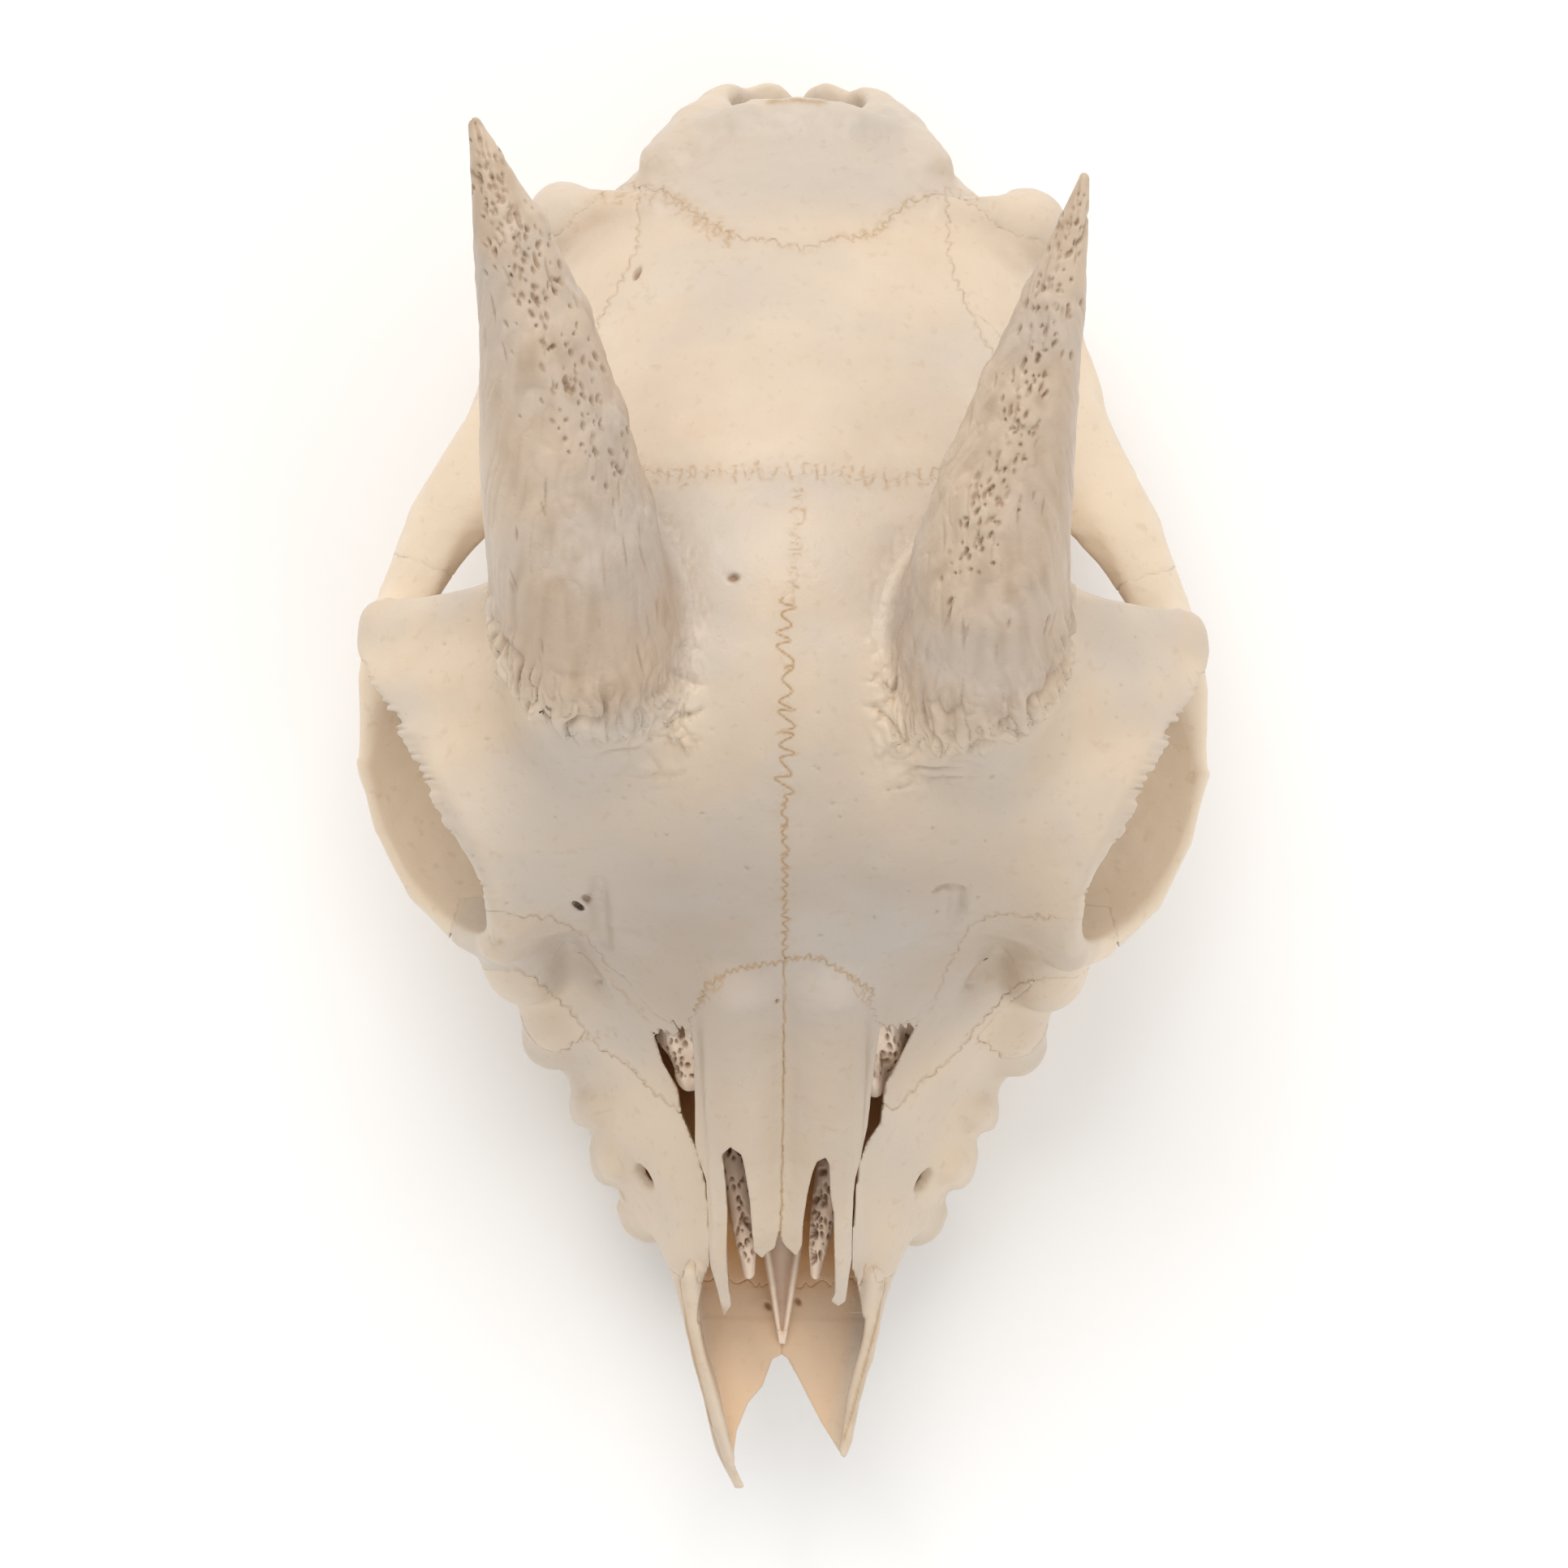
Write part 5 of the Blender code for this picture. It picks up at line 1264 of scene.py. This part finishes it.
FRONTAL_LEFT = (
    METOPIC
    + [(0, -34), (12, -34)]
    + suture(((12.4, -32.0), (17.7, -31.6)), 0.8, 1.15, 16)
    + ORBIT_SEAM_LEFT
    + [(37, -17), (62, -17), (62, 40)]
    + CORONAL_LEFT
)
FRONTAL_RIGHT = (
    [(3, -34), (-12, -34)]
    + suture(((-12.2, -32.4), (-17.7, -31.5)), 0.8, 1.15, 18)
    + ORBIT_SEAM_RIGHT
    + [(-37, -17), (-62, -17), (-62, 40)]
    + CORONAL_RIGHT[::-1]
    + [(2.6, 37.5)]
)
FACE_LINES = [(line, 0.1, 0.5) for line in (
    ORBIT_SEAM_LEFT, ORBIT_SEAM_RIGHT, TEAR_SEAM_LEFT, TEAR_SEAM_RIGHT,
    loops(((-22.5, -33.4), (-26.5, -34.4), (-28.8, -33.6)), 0.8, 0.9, 45, 0.8),
    loops(((24.5, -33.2), (26.5, -33.8), (28.2, -33.6)), 0.8, 0.9, 46, 0.8),
)]
# Furrows by the brow, cut into the clay, and small holes: place, heading, length, width, depth.
BROW_HOLES = {
    "right": (
        (ball((-27.0, -16.3, 68.6), (1.0, 0.42, 3.4), (0, 0, -37)), 0.2),
        (ball((-25.9, -15.3, 70.4), (0.62, 0.34, 3.0), (0, 0, -25)), 0.2),
        (rod(((-24.2, -13.4, 74.6, 0.9), (-24.2, -17.0, 68.0, 1.2), (-24.0, -21.6, 58.8, 0.8))), 1.6),
    ),
    "left": (
        (rod(((19.5, -13.7, 74.4, 0.3), (20.4, -13.1, 75.0, 0.5), (21.3, -12.8, 75.0, 0.6),
              (22.7, -13.4, 74.0, 0.35))), 0.3),
        (rod(((22.7, -13.9, 74.2, 0.9), (22.6, -16.2, 70.0, 1.0), (22.0, -18.2, 66.8, 0.4))), 1.4),
    ),
}
FRONTAL_HOLES = {
    "right": [((-6.5, 26.5), 0.1, 0.75, 0.5, 0.8)],
    "left": [],
}
dice = np.random.default_rng(61)
SIDES = (("left", 1), ("right", -1))
for side, sign in SIDES:
    for i in range(60):
        spot = (sign * dice.uniform(4, 46), dice.uniform(-21, 22))
        size = dice.uniform(0.12, 0.24)
        FRONTAL_HOLES[side].append((spot, dice.uniform(0, 3.1), size * dice.uniform(1, 1.8), size,
                                    dice.uniform(0.06, 0.2)))
METOPIC_LINES = [
    ([p for p in METOPIC if p[1] < 24], 0.13, 0.95),
    (loops(((1.0, 38), (0.8, 30), (0.5, 24)), 1.3, 1.2, 43, 0.4), 0.13, 0.6),
]
# How far the frontal bone runs on under the horn's rim, and how deep below the surface.
RIM_LAP = 2.4
RIM_SINK = 0.5
for side, outline, coronal in (("left", FRONTAL_LEFT, CORONAL_LEFT),
                               ("right", FRONTAL_RIGHT, CORONAL_RIGHT)):
    room = Room([(outline, ROOF)])
    bone = part_off("frontal_" + side, room, MIDDLING)
    # The bone runs on a little under the horn's rim, so that no gap shows in its creases.
    under_horn = np.maximum(-RIM_LAP - HORN_ROOMS[side].depth(bone.axes), room.depth(bone.axes))
    bone.depth = np.minimum(bone.depth, np.maximum(bone.uncut + RIM_SINK, under_horn))
    for form, blend in BROW_HOLES[side]:
        bone.cut(form, blend)
    mesh = bone_mesh("frontal_" + side, bone, 170000, FRONTAL_HOLES[side])
    place_bone("frontal_" + side, mesh, face_bone,
               METOPIC_LINES + CORONAL_LINES + NASAL_LINES + FACE_LINES,
               [(coronal, 1.5, 0.12), (METOPIC, 1.2, 0.08)])

# The parietal bone, the domed roof of the braincase between the coronal joint and the
# joint with the occipital bone.
skull_bone = bone_material("skull bone", 0.42, 0.8, 0.4, {"Cool and shade": (0.53, 0.455, 0.385)})
LAMBDOID = suture(((20.2, 78.9), (15.2, 77.5), (13, 75.3), (10.4, 72.6), (4.5, 71.8), (1.3, 70.6),
                   (-1.9, 71.3), (-8.3, 72.3), (-12.1, 74.4), (-15.9, 77.6), (-20.6, 79.2)), 0.5, 1.6, 21)
TEMPLE_LEFT = suture(((31, 40), (29.5, 50), (26.6, 56.5), (24.9, 59.1), (21.1, 67.4), (20.6, 70.5),
                      (20.2, 78.9)), 0.4, 1.8, 22)
TEMPLE_RIGHT = suture(((-20.6, 79.2), (-20.6, 71), (-22.1, 67.1), (-25.2, 61.1), (-29.5, 50), (-31, 40)),
                      0.4, 1.8, 23)
PARIETAL = [(36, 38), (31, 40)] + TEMPLE_LEFT + LAMBDOID + TEMPLE_RIGHT + [(-36, 38)]
PARIETAL_BESIDE = ((38, 58), (60, 50), (72, 44), (90, 40), (90, 140), (38, 140))
PARIETAL_HOLES = (((-20.9, 67.1), 1.2, 1.0, 0.38, 0.7), ((22.0, 67.4), 1.95, 1.0, 0.34, 0.7),
                  ((26.4, 58.5), 2.0, 0.6, 0.26, 0.4))
LAMBDA_LEFT = ((24.5, 78.5), (20.2, 78.9), (15.2, 77.5), (13, 75.3), (9.5, 72.6))
LAMBDA_RIGHT = ((-8.5, 72.3), (-12.1, 74.4), (-15.9, 77.6), (-20.6, 79.2), (-26, 78.4))
NAPE_LINES = [
    (LAMBDOID, 0.1, 0.5), (TEMPLE_LEFT, 0.1, 0.4), (TEMPLE_RIGHT, 0.1, 0.4),
    (loops(LAMBDA_LEFT, 0.9, 1.1, 47, 0.6), 0.12, 0.5), (loops(LAMBDA_RIGHT, 1.3, 1.1, 48, 0.6), 0.13, 0.6),
    (loops([(x, y - 1.4) for x, y in LAMBDA_RIGHT], 0.7, 1.5, 49, 0.4), 0.12, 0.45),
]
NAPE_STAINS = [(LAMBDA_LEFT, 1.5, 0.16), (LAMBDA_RIGHT, 1.8, 0.26), (LAMBDOID, 1.0, 0.1)]
carve("parietal", Room([(PARIETAL, PARIETAL_BESIDE)]), PLAIN, 115000, skull_bone,
      PARIETAL_HOLES, CORONAL_LINES + NAPE_LINES,
      [(CORONAL_LEFT, 1.5, 0.12), (CORONAL_RIGHT, 1.5, 0.12)] + NAPE_STAINS)

# The occipital bone, the rough rear wall with the great hole, its two condyles and the
# jugular processes on which the skull rests.
OCCIPITAL_REAR = (
    [(20.2, 78.9)] + LAMBDOID + [(-20.6, 79.2)]
    + suture(((-20.6, 79.2), (-24.5, 79.1), (-31.4, 72.6)), 0.4, 1.5, 25)
    + [(-42, 72.4), (-42, 99), (42, 99), (42, 72.4)]
    + suture(((33.4, 72.4), (28.1, 73.9), (23.7, 77.1), (20.2, 78.9)), 0.4, 1.5, 26)
)
OCCIPITAL_BASE = ((-6.4, 44), (6.4, 44), (8.4, 56), (10.4, 66), (17, 71), (42, 69.4), (42, 99), (-42, 99),
                  (-42, 69.4), (-17, 71), (-10.4, 66), (-8.4, 56))
OCCIPITAL_STAIN = (((-3.6, 90.9), (0.0, 91.3), (3.8, 91.0)), 0.4, 0.8)
carve("occipital", Room([
    (OCCIPITAL_REAR, ((60, 33), (99, 33), (99, 140), (60, 140))),
    (OCCIPITAL_BASE, ((38, -9), (99, -9), (99, 35), (38, 35))),
]), PLAIN, 120000, skull_bone, (), NAPE_LINES, NAPE_STAINS + [OCCIPITAL_STAIN])

# The lacrimal bones, thin plates at the front of the orbits, each with a shallow pit and a
# knob on the orbit's rim. Wavy joints knit them to the frontal bones and the maxillae.
LACRIMAL_BESIDE = ((-46, 34), (-25, 40), (-15, 50), (-12, 80), (-46, 80))
LACRIMAL_LEFT = [
    (12, -41), (12, -36), (16, -29), (20, -20), (24, -12), (42, -12), (44.5, -21.5), (38.6, -25.2),
    (34.5, -25.0), *TEAR_SEAM_LEFT,
]
LACRIMAL_RIGHT = [
    *TEAR_SEAM_RIGHT, (-39.5, -25.2), (-44.5, -21.5), (-42, -12), (-24, -12), (-20, -20), (-16, -29),
    (-12, -36), (-12, -41),
]
KNOB_STAIN = (((-38.6, -20.8), (-37.9, -21.7), (-37.3, -21.2)), 0.55, 1.0)
for side, outline in (("left", LACRIMAL_LEFT), ("right", LACRIMAL_RIGHT)):
    carve("lacrimal_" + side, Room([(outline, LACRIMAL_BESIDE)]), MIDDLING, 34000, face_bone,
          (), FACE_LINES, [KNOB_STAIN])

# The zygomatic bones, the stout lower rims of the orbits. Each runs back as the front half
# of the cheek's arch and ends in a slanting joint with the temporal bone.
arch_bone = bone_material("arch bone", 0.15, 0.7, 0.3)
ZYGOMATIC_BESIDE = ((-40, 34), (-22, 31), (-5, 33), (10, 34), (40, 34), (40, 66), (-40, 66))


def sided(points, sign):
    """Points of the left side, or the same on the right with a sign of -1."""
    return [(x * sign, *rest) for x, *rest in points]


for side, sign in SIDES:
    outline = (suture(sided(((44, 27), (54, 30.5), (64, 34)), sign), 0.3, 2.2, 34)
               + suture(sided(((64, -40), (36, -38.5), (30, -36.6), (26, -33.4)), sign), 0.4, 1.8, 35)
               + sided(((28.5, -30.5), (33, -26), (35.8, -20.5), (36, -8), (41, 10)), sign))
    carve("zygomatic_" + side, Room([(outline, ZYGOMATIC_BESIDE)]), PLAIN, 55000, arch_bone)

# The temporal bones behind them, the sides of the braincase, each with the rear of the
# arch, the socket of the jaw and the hollow capsule of the ear.
TEMPORAL_ABOVE = ((5.0, 48), (13, 43), (22, 38), (30, 30), (43, 19), (66, 26), (66, 85), (5.0, 85))
TEMPORAL_BESIDE = ((14, -9), (90, -9), (90, 62), (68, 63), (54, 59), (43, 53), (30, 55), (14, 55))
for side, sign in SIDES:
    room = Room([(sided(TEMPORAL_ABOVE, sign), TEMPORAL_BESIDE)])
    carve("temporal_" + side, room, PLAIN, 68000, arch_bone, (), NAPE_LINES, NAPE_STAINS)

# The lower turbinates inside the nose, a scroll of paper-thin bone on each side wall that
# is pierced by many small holes.
# Pinkish thin bone, lightened well beyond plain bone as painted light that makes up for the shade deep
# inside the nose.
lightened_inner_bone = bone_material("lightened inner bone", 0.2, 1.2, 0.6, {
    "Colour": (0.92, 0.74, 0.59), "Pale": (0.94, 0.80, 0.66), "Cool and shade": (0.92, 0.74, 0.60),
    "Painted glow": (0.92, 0.74, 0.59), "Pit shade": (0.26, 0.13, 0.06),
})


def riddled(spine, sign, seed, count, ends, spread, sizes, swerve, longest):
    """Small holes strewn along a rod's path, up to a share of its radius to the side."""
    dice = np.random.default_rng(seed)
    holes = []
    for i in range(count):
        share = dice.uniform(*ends)
        k = int(share)
        a, b = np.array(spine[k]), np.array(spine[k + 1])
        spot = a + (b - a) * (share - k)
        off = dice.uniform(-spread, spread) * spot[3]
        size = dice.uniform(*sizes)
        holes.append((((spot[0] + off) * sign, spot[1]), 1.57 + dice.normal(0, swerve),
                      size * dice.uniform(1.0, longest), size, dice.uniform(0.4, 0.8)))
    return holes


CONCHA = ((9.0, -32, 40, 4.4), (7.6, -44, 40, 4.0), (6.5, -51, 39.6, 3.0), (5.6, -57, 37.6, 2.5),
          (4.8, -62, 35.6, 1.9), (4.5, -65.3, 34.4, 1.2))
for side, sign in SIDES:
    edges = sorted((0.5 * sign, 15 * sign))
    scroll = Clay((edges[0], -68, 26), (edges[1], -28, 47), 0.2)
    scroll.add(rod(sided(CONCHA, sign), (1.0, 0, 0.1), 0.7), 1.0)
    holes = riddled(CONCHA, sign, 21 if sign > 0 else 22, 80, (0.3, 4.6), 0.62, (0.14, 0.36), 0.3, 1.9)
    place_bone("concha_" + side, bone_mesh("concha_" + side, scroll, 44000, holes), lightened_inner_bone)

# The upper turbinates behind the gaps beside the nasal bones: thin folded plates riddled
# with holes, which hang from the bones above them. No CAD node stands for them.
TURBINATE = ((15.0, -28.5, 54.5, 6.5), (14.4, -35, 49.5, 5.6), (12.6, -39.4, 46.0, 3.4))
PLATE_TOP = 2.4
PLATE_UNDER = 3.6
for side, sign in SIDES:
    edges = sorted((6.0 * sign, 19 * sign))
    plate = Clay((edges[0], -47, 38), (edges[1], -27, 64), 0.22)
    plate.add(rod(sided(TURBINATE, sign)), 1.0)
    # Their faces lie below the gap, as far in as the bones beside it are thick.
    across, ahead, up = np.meshgrid(*plate.axes, indexing="ij", sparse=True)
    inset = body_distance(np.abs(across), ahead, up)
    fold = 0.5 * np.sin(across * 1.7 + ahead * 0.4) + 0.3 * np.sin(ahead * 1.3)
    plate.depth = np.maximum(plate.depth, inset + PLATE_TOP + fold)
    plate.depth = np.maximum(plate.depth, -(inset + PLATE_UNDER + fold)).astype(np.float32)
    holes = riddled(TURBINATE, sign, 31 if sign > 0 else 32, 90, (0.0, 1.95), 0.9, (0.14, 0.34), 0.4, 2.0)
    mesh = bone_mesh("turbinate_" + side, plate, 30000, holes)
    mesh.materials.append(lightened_inner_bone)
    turbinate = bpy.data.objects.new("turbinate_" + side, mesh)
    scene.collection.objects.link(turbinate)
    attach(turbinate, "root")

# The vomer, a thin trough of bone that stands on the middle of the nose's floor and held
# the gristle between the nostrils.
trough = Clay((-5, -77, NOSE_FLOOR - 0.6), (5, -28, 33), FINE)
for sign in (1, -1):
    wall = ((2.4 * sign, -30, 28, 1.5), (2.2 * sign, -62, 28.6, 1.4), (1.3 * sign, -67.5, 27.6, 1.2),
            (0.3 * sign, -75.0, 25.2, 0.8))
    trough.add(rod(wall, (1, 0, 0), 0.45), 0.6)
trough.add(rod(((0, -30, 25.4, 2.2), (0, -63, 25.4, 2.0), (0, -74, 24.6, 0.8)), (0, 0, 1), 0.5), 0.8)
place_bone("vomer", bone_mesh("vomer", trough, 25000), lightened_inner_bone)

# The premaxillae, two flat spines at the nose's tip that carry no teeth and meet in a
# notch. A groove runs along each, and a joint knits it to the maxilla behind.
PREMAXILLA_LEFT = [
    *suture(((0.3, -68), (11, -67)), 0.5, 2.0, 53), (11.6, -63.7), (12.5, -64.7), (12.9, -66.8),
    (14.6, -66.2), (16.8, -65.2), (18, -67), (14.6, -70.1), (13.8, -74.4), (12.0, -78.8), (10.9, -83.2),
    (10.1, -88.6), (9.2, -90.7), (8.8, -90.6), (8, -89.3), (6, -86.3), (3.2, -81), (1.3, -77.6), (0.4, -77),
]
PREMAXILLA_RIGHT = [
    *suture(((1, -68), (-11, -67)), 0.5, 2.0, 54), (-11.6, -63.7), (-12.5, -64.7), (-12.9, -66.8),
    (-14.7, -65.6), (-17, -66), (-14.0, -71.1), (-12.2, -77.5), (-10.2, -84.1), (-8.7, -89.8),
    (-7.2, -93.6), (-5.7, -95.1), (-4.5, -95.0), (-5.2, -93.6), (-5.9, -92), (-5.9, -90.1),
    (-5.6, -87.5), (-4.1, -83.7), (-2.2, -81.4), (-0.9, -77.7), (0.5, -77),
]
PREMAXILLA_GROOVE = {
    "left": ((14.2, -67), (12.9, -73), (11.5, -78.6), (10.4, -83), (9.0, -88.2)),
    "right": ((-13.4, -67), (-12.4, -73), (-11.2, -78), (-9.9, -83), (-8.4, -88.5), (-7.0, -92.8)),
}
PREMAXILLA_HOLE = {"left": (2.1, -69.9), "right": (-1.9, -70.6)}
for side, outline in (("left", PREMAXILLA_LEFT), ("right", PREMAXILLA_RIGHT)):
    carve("premaxilla_" + side, Room([(outline, None)]), FINE, 48000, skull_bone,
          ((PREMAXILLA_HOLE[side], 2.3, 0.55, 0.35, 0.6),),
          [(PREMAXILLA_GROOVE[side], 0.16, 0.75)], [(PREMAXILLA_GROOVE[side], 0.8, 0.3)])

# The palatine bones, the rear of the hard palate between the last cheek teeth. They are
# knit to the maxillae in front and to the sphenoid behind.
base_bone = bone_material("base bone", 0.3, 0.9, 0.5)
PALATINE_ABOVE = ((0, -15), (9.5, -15), (16.5, -4), (16.5, 6), (0, 6))
PALATINE_BESIDE = ((-16, -9), (41, -9), (41, 27), (-16, 27))
for side, sign in SIDES:
    room = Room([(sided(PALATINE_ABOVE, sign), PALATINE_BESIDE)])
    carve("palatine_" + side, room, PLAIN, 18000, base_bone)

# The maxillae, the sides of the face and the front of the palate, with a row of six cheek
# teeth in each. A tooth is an enamel crown set in the bone, and each is larger than the last.
MAXILLA_ABOVE = ((0, -70), (30, -70), (45, -40), (45, 12), (0, 12))
MAXILLA_BESIDE = ((-71, -9), (12, -9), (12, 30), (-4, 42), (-16, 62), (-50, 62), (-71, 56))
# One crown, whose plan is square before the row scales it, and the line of a row.
CROWN_SIZE = 10.0
CROWN_TALL = 20.0
TOOTH_LINE = np.array(((19.0, -57.0), (23.6, -36.0), (25.2, -18.0), (24.4, 1.0), (23.6, 6.0)))
TOOTH_ROW = {"Teeth": 6, "First length": 7.2, "Length growth": 1.02, "First width": 6.4,
             "Width growth": 1.05}


def crown(x, y, z):
    """A cheek tooth with two lobes, ribs down its sides and crescents where it grinds."""
    lobe = np.abs(y) - CROWN_SIZE / 4
    rib = 0.35 * np.cos(y * 2 * math.pi / 2.5)
    near = (np.abs(lobe / 2.55) ** 2.6 + np.abs(x / (0.47 * CROWN_SIZE)) ** 2.6) ** (1 / 2.6)
    side = (near - 1.0) * 2.6 + 0.35 - rib * np.clip((16.0 - z) / 6.0, 0, 1)
    core = np.maximum(np.abs(x) - 3.6, np.abs(y) - 4.2)
    side = smooth_min(side, core, 1.0)
    trough = np.abs(np.abs(x) - 1.4 - 0.6 * np.cos(lobe * 1.1))
    bite = 1.5 * np.sin(math.pi * lobe / 5.0) ** 2 + 0.9 * np.exp(-(trough / 0.45) ** 2)
    return np.maximum(np.maximum(side, z - CROWN_TALL), (bite - z) * 0.6)


def tooth_row_tree():
    """Teeth set along a line one behind the other, each longer and wider than the last."""
    tree = bpy.data.node_groups.new("tooth row", "GeometryNodeTree")
    tree.is_modifier = True
    wiring = Wiring(tree)
    wiring.sockets((
        ("Geometry", "NodeSocketGeometry", None), ("Teeth", "NodeSocketInt", 6),
        ("First length", "NodeSocketFloat", 7.0), ("Length growth", "NodeSocketFloat", 1.0),
        ("First width", "NodeSocketFloat", 6.0), ("Width growth", "NodeSocketFloat", 1.0),
        ("Crown", "NodeSocketObject", None), ("Enamel", "NodeSocketMaterial", None),
    ), (("Geometry", "NodeSocketGeometry"),))
    add, sums = wiring.add, wiring.sums
    given = add("NodeGroupInput", {})
    number = add("GeometryNodeInputIndex", {})["Index"]
    length = sums("ADD", given["First length"], sums("MULTIPLY", given["Length growth"], number))
    width = sums("ADD", given["First width"], sums("MULTIPLY", given["Width growth"], number))
    before = sums("MULTIPLY", sums("MULTIPLY", number, sums("SUBTRACT", number, 1.0)), 0.5)
    start = sums("ADD", sums("MULTIPLY", given["First length"], number),
                 sums("MULTIPLY", given["Length growth"], before))
    middle = sums("MULTIPLY", sums("ADD", start, sums("MULTIPLY", length, 0.5)), MM)

    line = add("GeometryNodeMeshToCurve", {"Mesh": given["Geometry"]})
    at = add("GeometryNodeSampleCurve", {"Curves": line["Curve"], "Length": middle},
             mode="LENGTH", use_all_curves=True)
    spots = add("GeometryNodePoints", {"Count": given["Teeth"], "Position": at["Position"]})
    turn = add("FunctionNodeAlignRotationToVector", {"Vector": at["Tangent"]}, axis="Y", pivot_axis="Z")
    size = add("ShaderNodeCombineXYZ", {"X": sums("DIVIDE", width, CROWN_SIZE),
                                        "Y": sums("DIVIDE", length, CROWN_SIZE), "Z": 1.0})
    tooth = add("GeometryNodeObjectInfo", {"Object": given["Crown"]})
    row = add("GeometryNodeInstanceOnPoints", {"Points": spots[0], "Instance": tooth["Geometry"],
                                               "Rotation": turn["Rotation"], "Scale": size["Vector"]})
    real = add("GeometryNodeRealizeInstances", {"Geometry": row["Instances"]})
    coat = add("GeometryNodeSetMaterial", {"Geometry": real["Geometry"], "Material": given["Enamel"]})
    add("NodeGroupOutput", {"Geometry": coat["Geometry"]})
    return tree


ENAMEL, TARTAR = (0.80, 0.71, 0.57, 1), (0.22, 0.13, 0.07, 1)
TARTAR_LEVEL = 0.0035


def enamel_material():
    """Cream enamel, stained brown with tartar near the grinding edge."""
    material = bpy.data.materials.new("tooth enamel")
    material.use_nodes = True
    wiring = Wiring(material.node_tree)
    place = wiring.add("ShaderNodeTexCoord", {})["Object"]
    level = wiring.add("ShaderNodeSeparateXYZ", {"Vector": place})["Z"]
    stain = wiring.ramp(level, TARTAR_LEVEL, 0.0)
    share = wiring.sums("MULTIPLY", stain, wiring.noise(place, 420.0, 4.0, 0.5))
    wiring.fill(material.node_tree.nodes["Principled BSDF"],
                {"Base Color": wiring.mix(share, ENAMEL, TARTAR), "Roughness": 0.35})
    return material


block = Clay((-6, -6, -1.5), (6, 6, CROWN_TALL + 1.5), MIDDLING)
block.depth = crown(*np.meshgrid(*block.axes, indexing="ij", sparse=True)).astype(np.float32)
crown_mesh = fewer_faces(plain_mesh("crown", *largest_shell(*block.skin())), 4600)
crown_piece = bpy.data.objects.new("crown", crown_mesh)
tooth_tree, enamel = tooth_row_tree(), enamel_material()
TOOTH_ROW.update({"Crown": crown_piece, "Enamel": enamel})
reaches, places = TOOTH_LINE.T
for side, sign in SIDES:
    bone = part_off("maxilla_" + side, Room([(sided(MAXILLA_ABOVE, sign), MAXILLA_BESIDE)]), PLAIN)
    mesh = bone_mesh("maxilla_" + side, bone, 90000, soften=False)
    line = [(smooth_curve(places, reaches, y) * sign * MM, y * MM, 0.0)
            for y in np.linspace(places[0], places[-1], 40)]
    row_mesh = bpy.data.meshes.new("tooth row")
    row_mesh.from_pydata(line, [(i, i + 1) for i in range(len(line) - 1)], [])
    row = bpy.data.objects.new("tooth row", row_mesh)
    scene.collection.objects.link(row)
    teeth = row.modifiers.new("teeth", "NODES")
    teeth.node_group = tooth_tree
    for socket in tooth_tree.interface.items_tree:
        if socket.name in TOOTH_ROW:
            teeth[socket.identifier] = TOOTH_ROW[socket.name]
    graph = bpy.context.evaluated_depsgraph_get()
    row_teeth = bpy.data.meshes.new_from_object(row.evaluated_get(graph))
    bpy.data.objects.remove(row, do_unlink=True)
    for setting, kind in (("material_index", np.int32), ("use_smooth", bool)):
        row_teeth.polygons.foreach_set(setting, np.ones(len(row_teeth.polygons), kind))
    both = bmesh.new()
    both.from_mesh(mesh)
    both.from_mesh(row_teeth)
    both.to_mesh(mesh)
    both.free()
    place_bone("maxilla_" + side, mesh, skull_bone, FACE_LINES)
    mesh.materials.append(enamel)
bpy.data.objects.remove(crown_piece)

# The sphenoid in the middle of the base, with the plates beside the throat and the wall
# behind the orbits. It is what is left of the clay when every other bone is off.
carve("sphenoid", None, 0.4, 84000, base_bone)
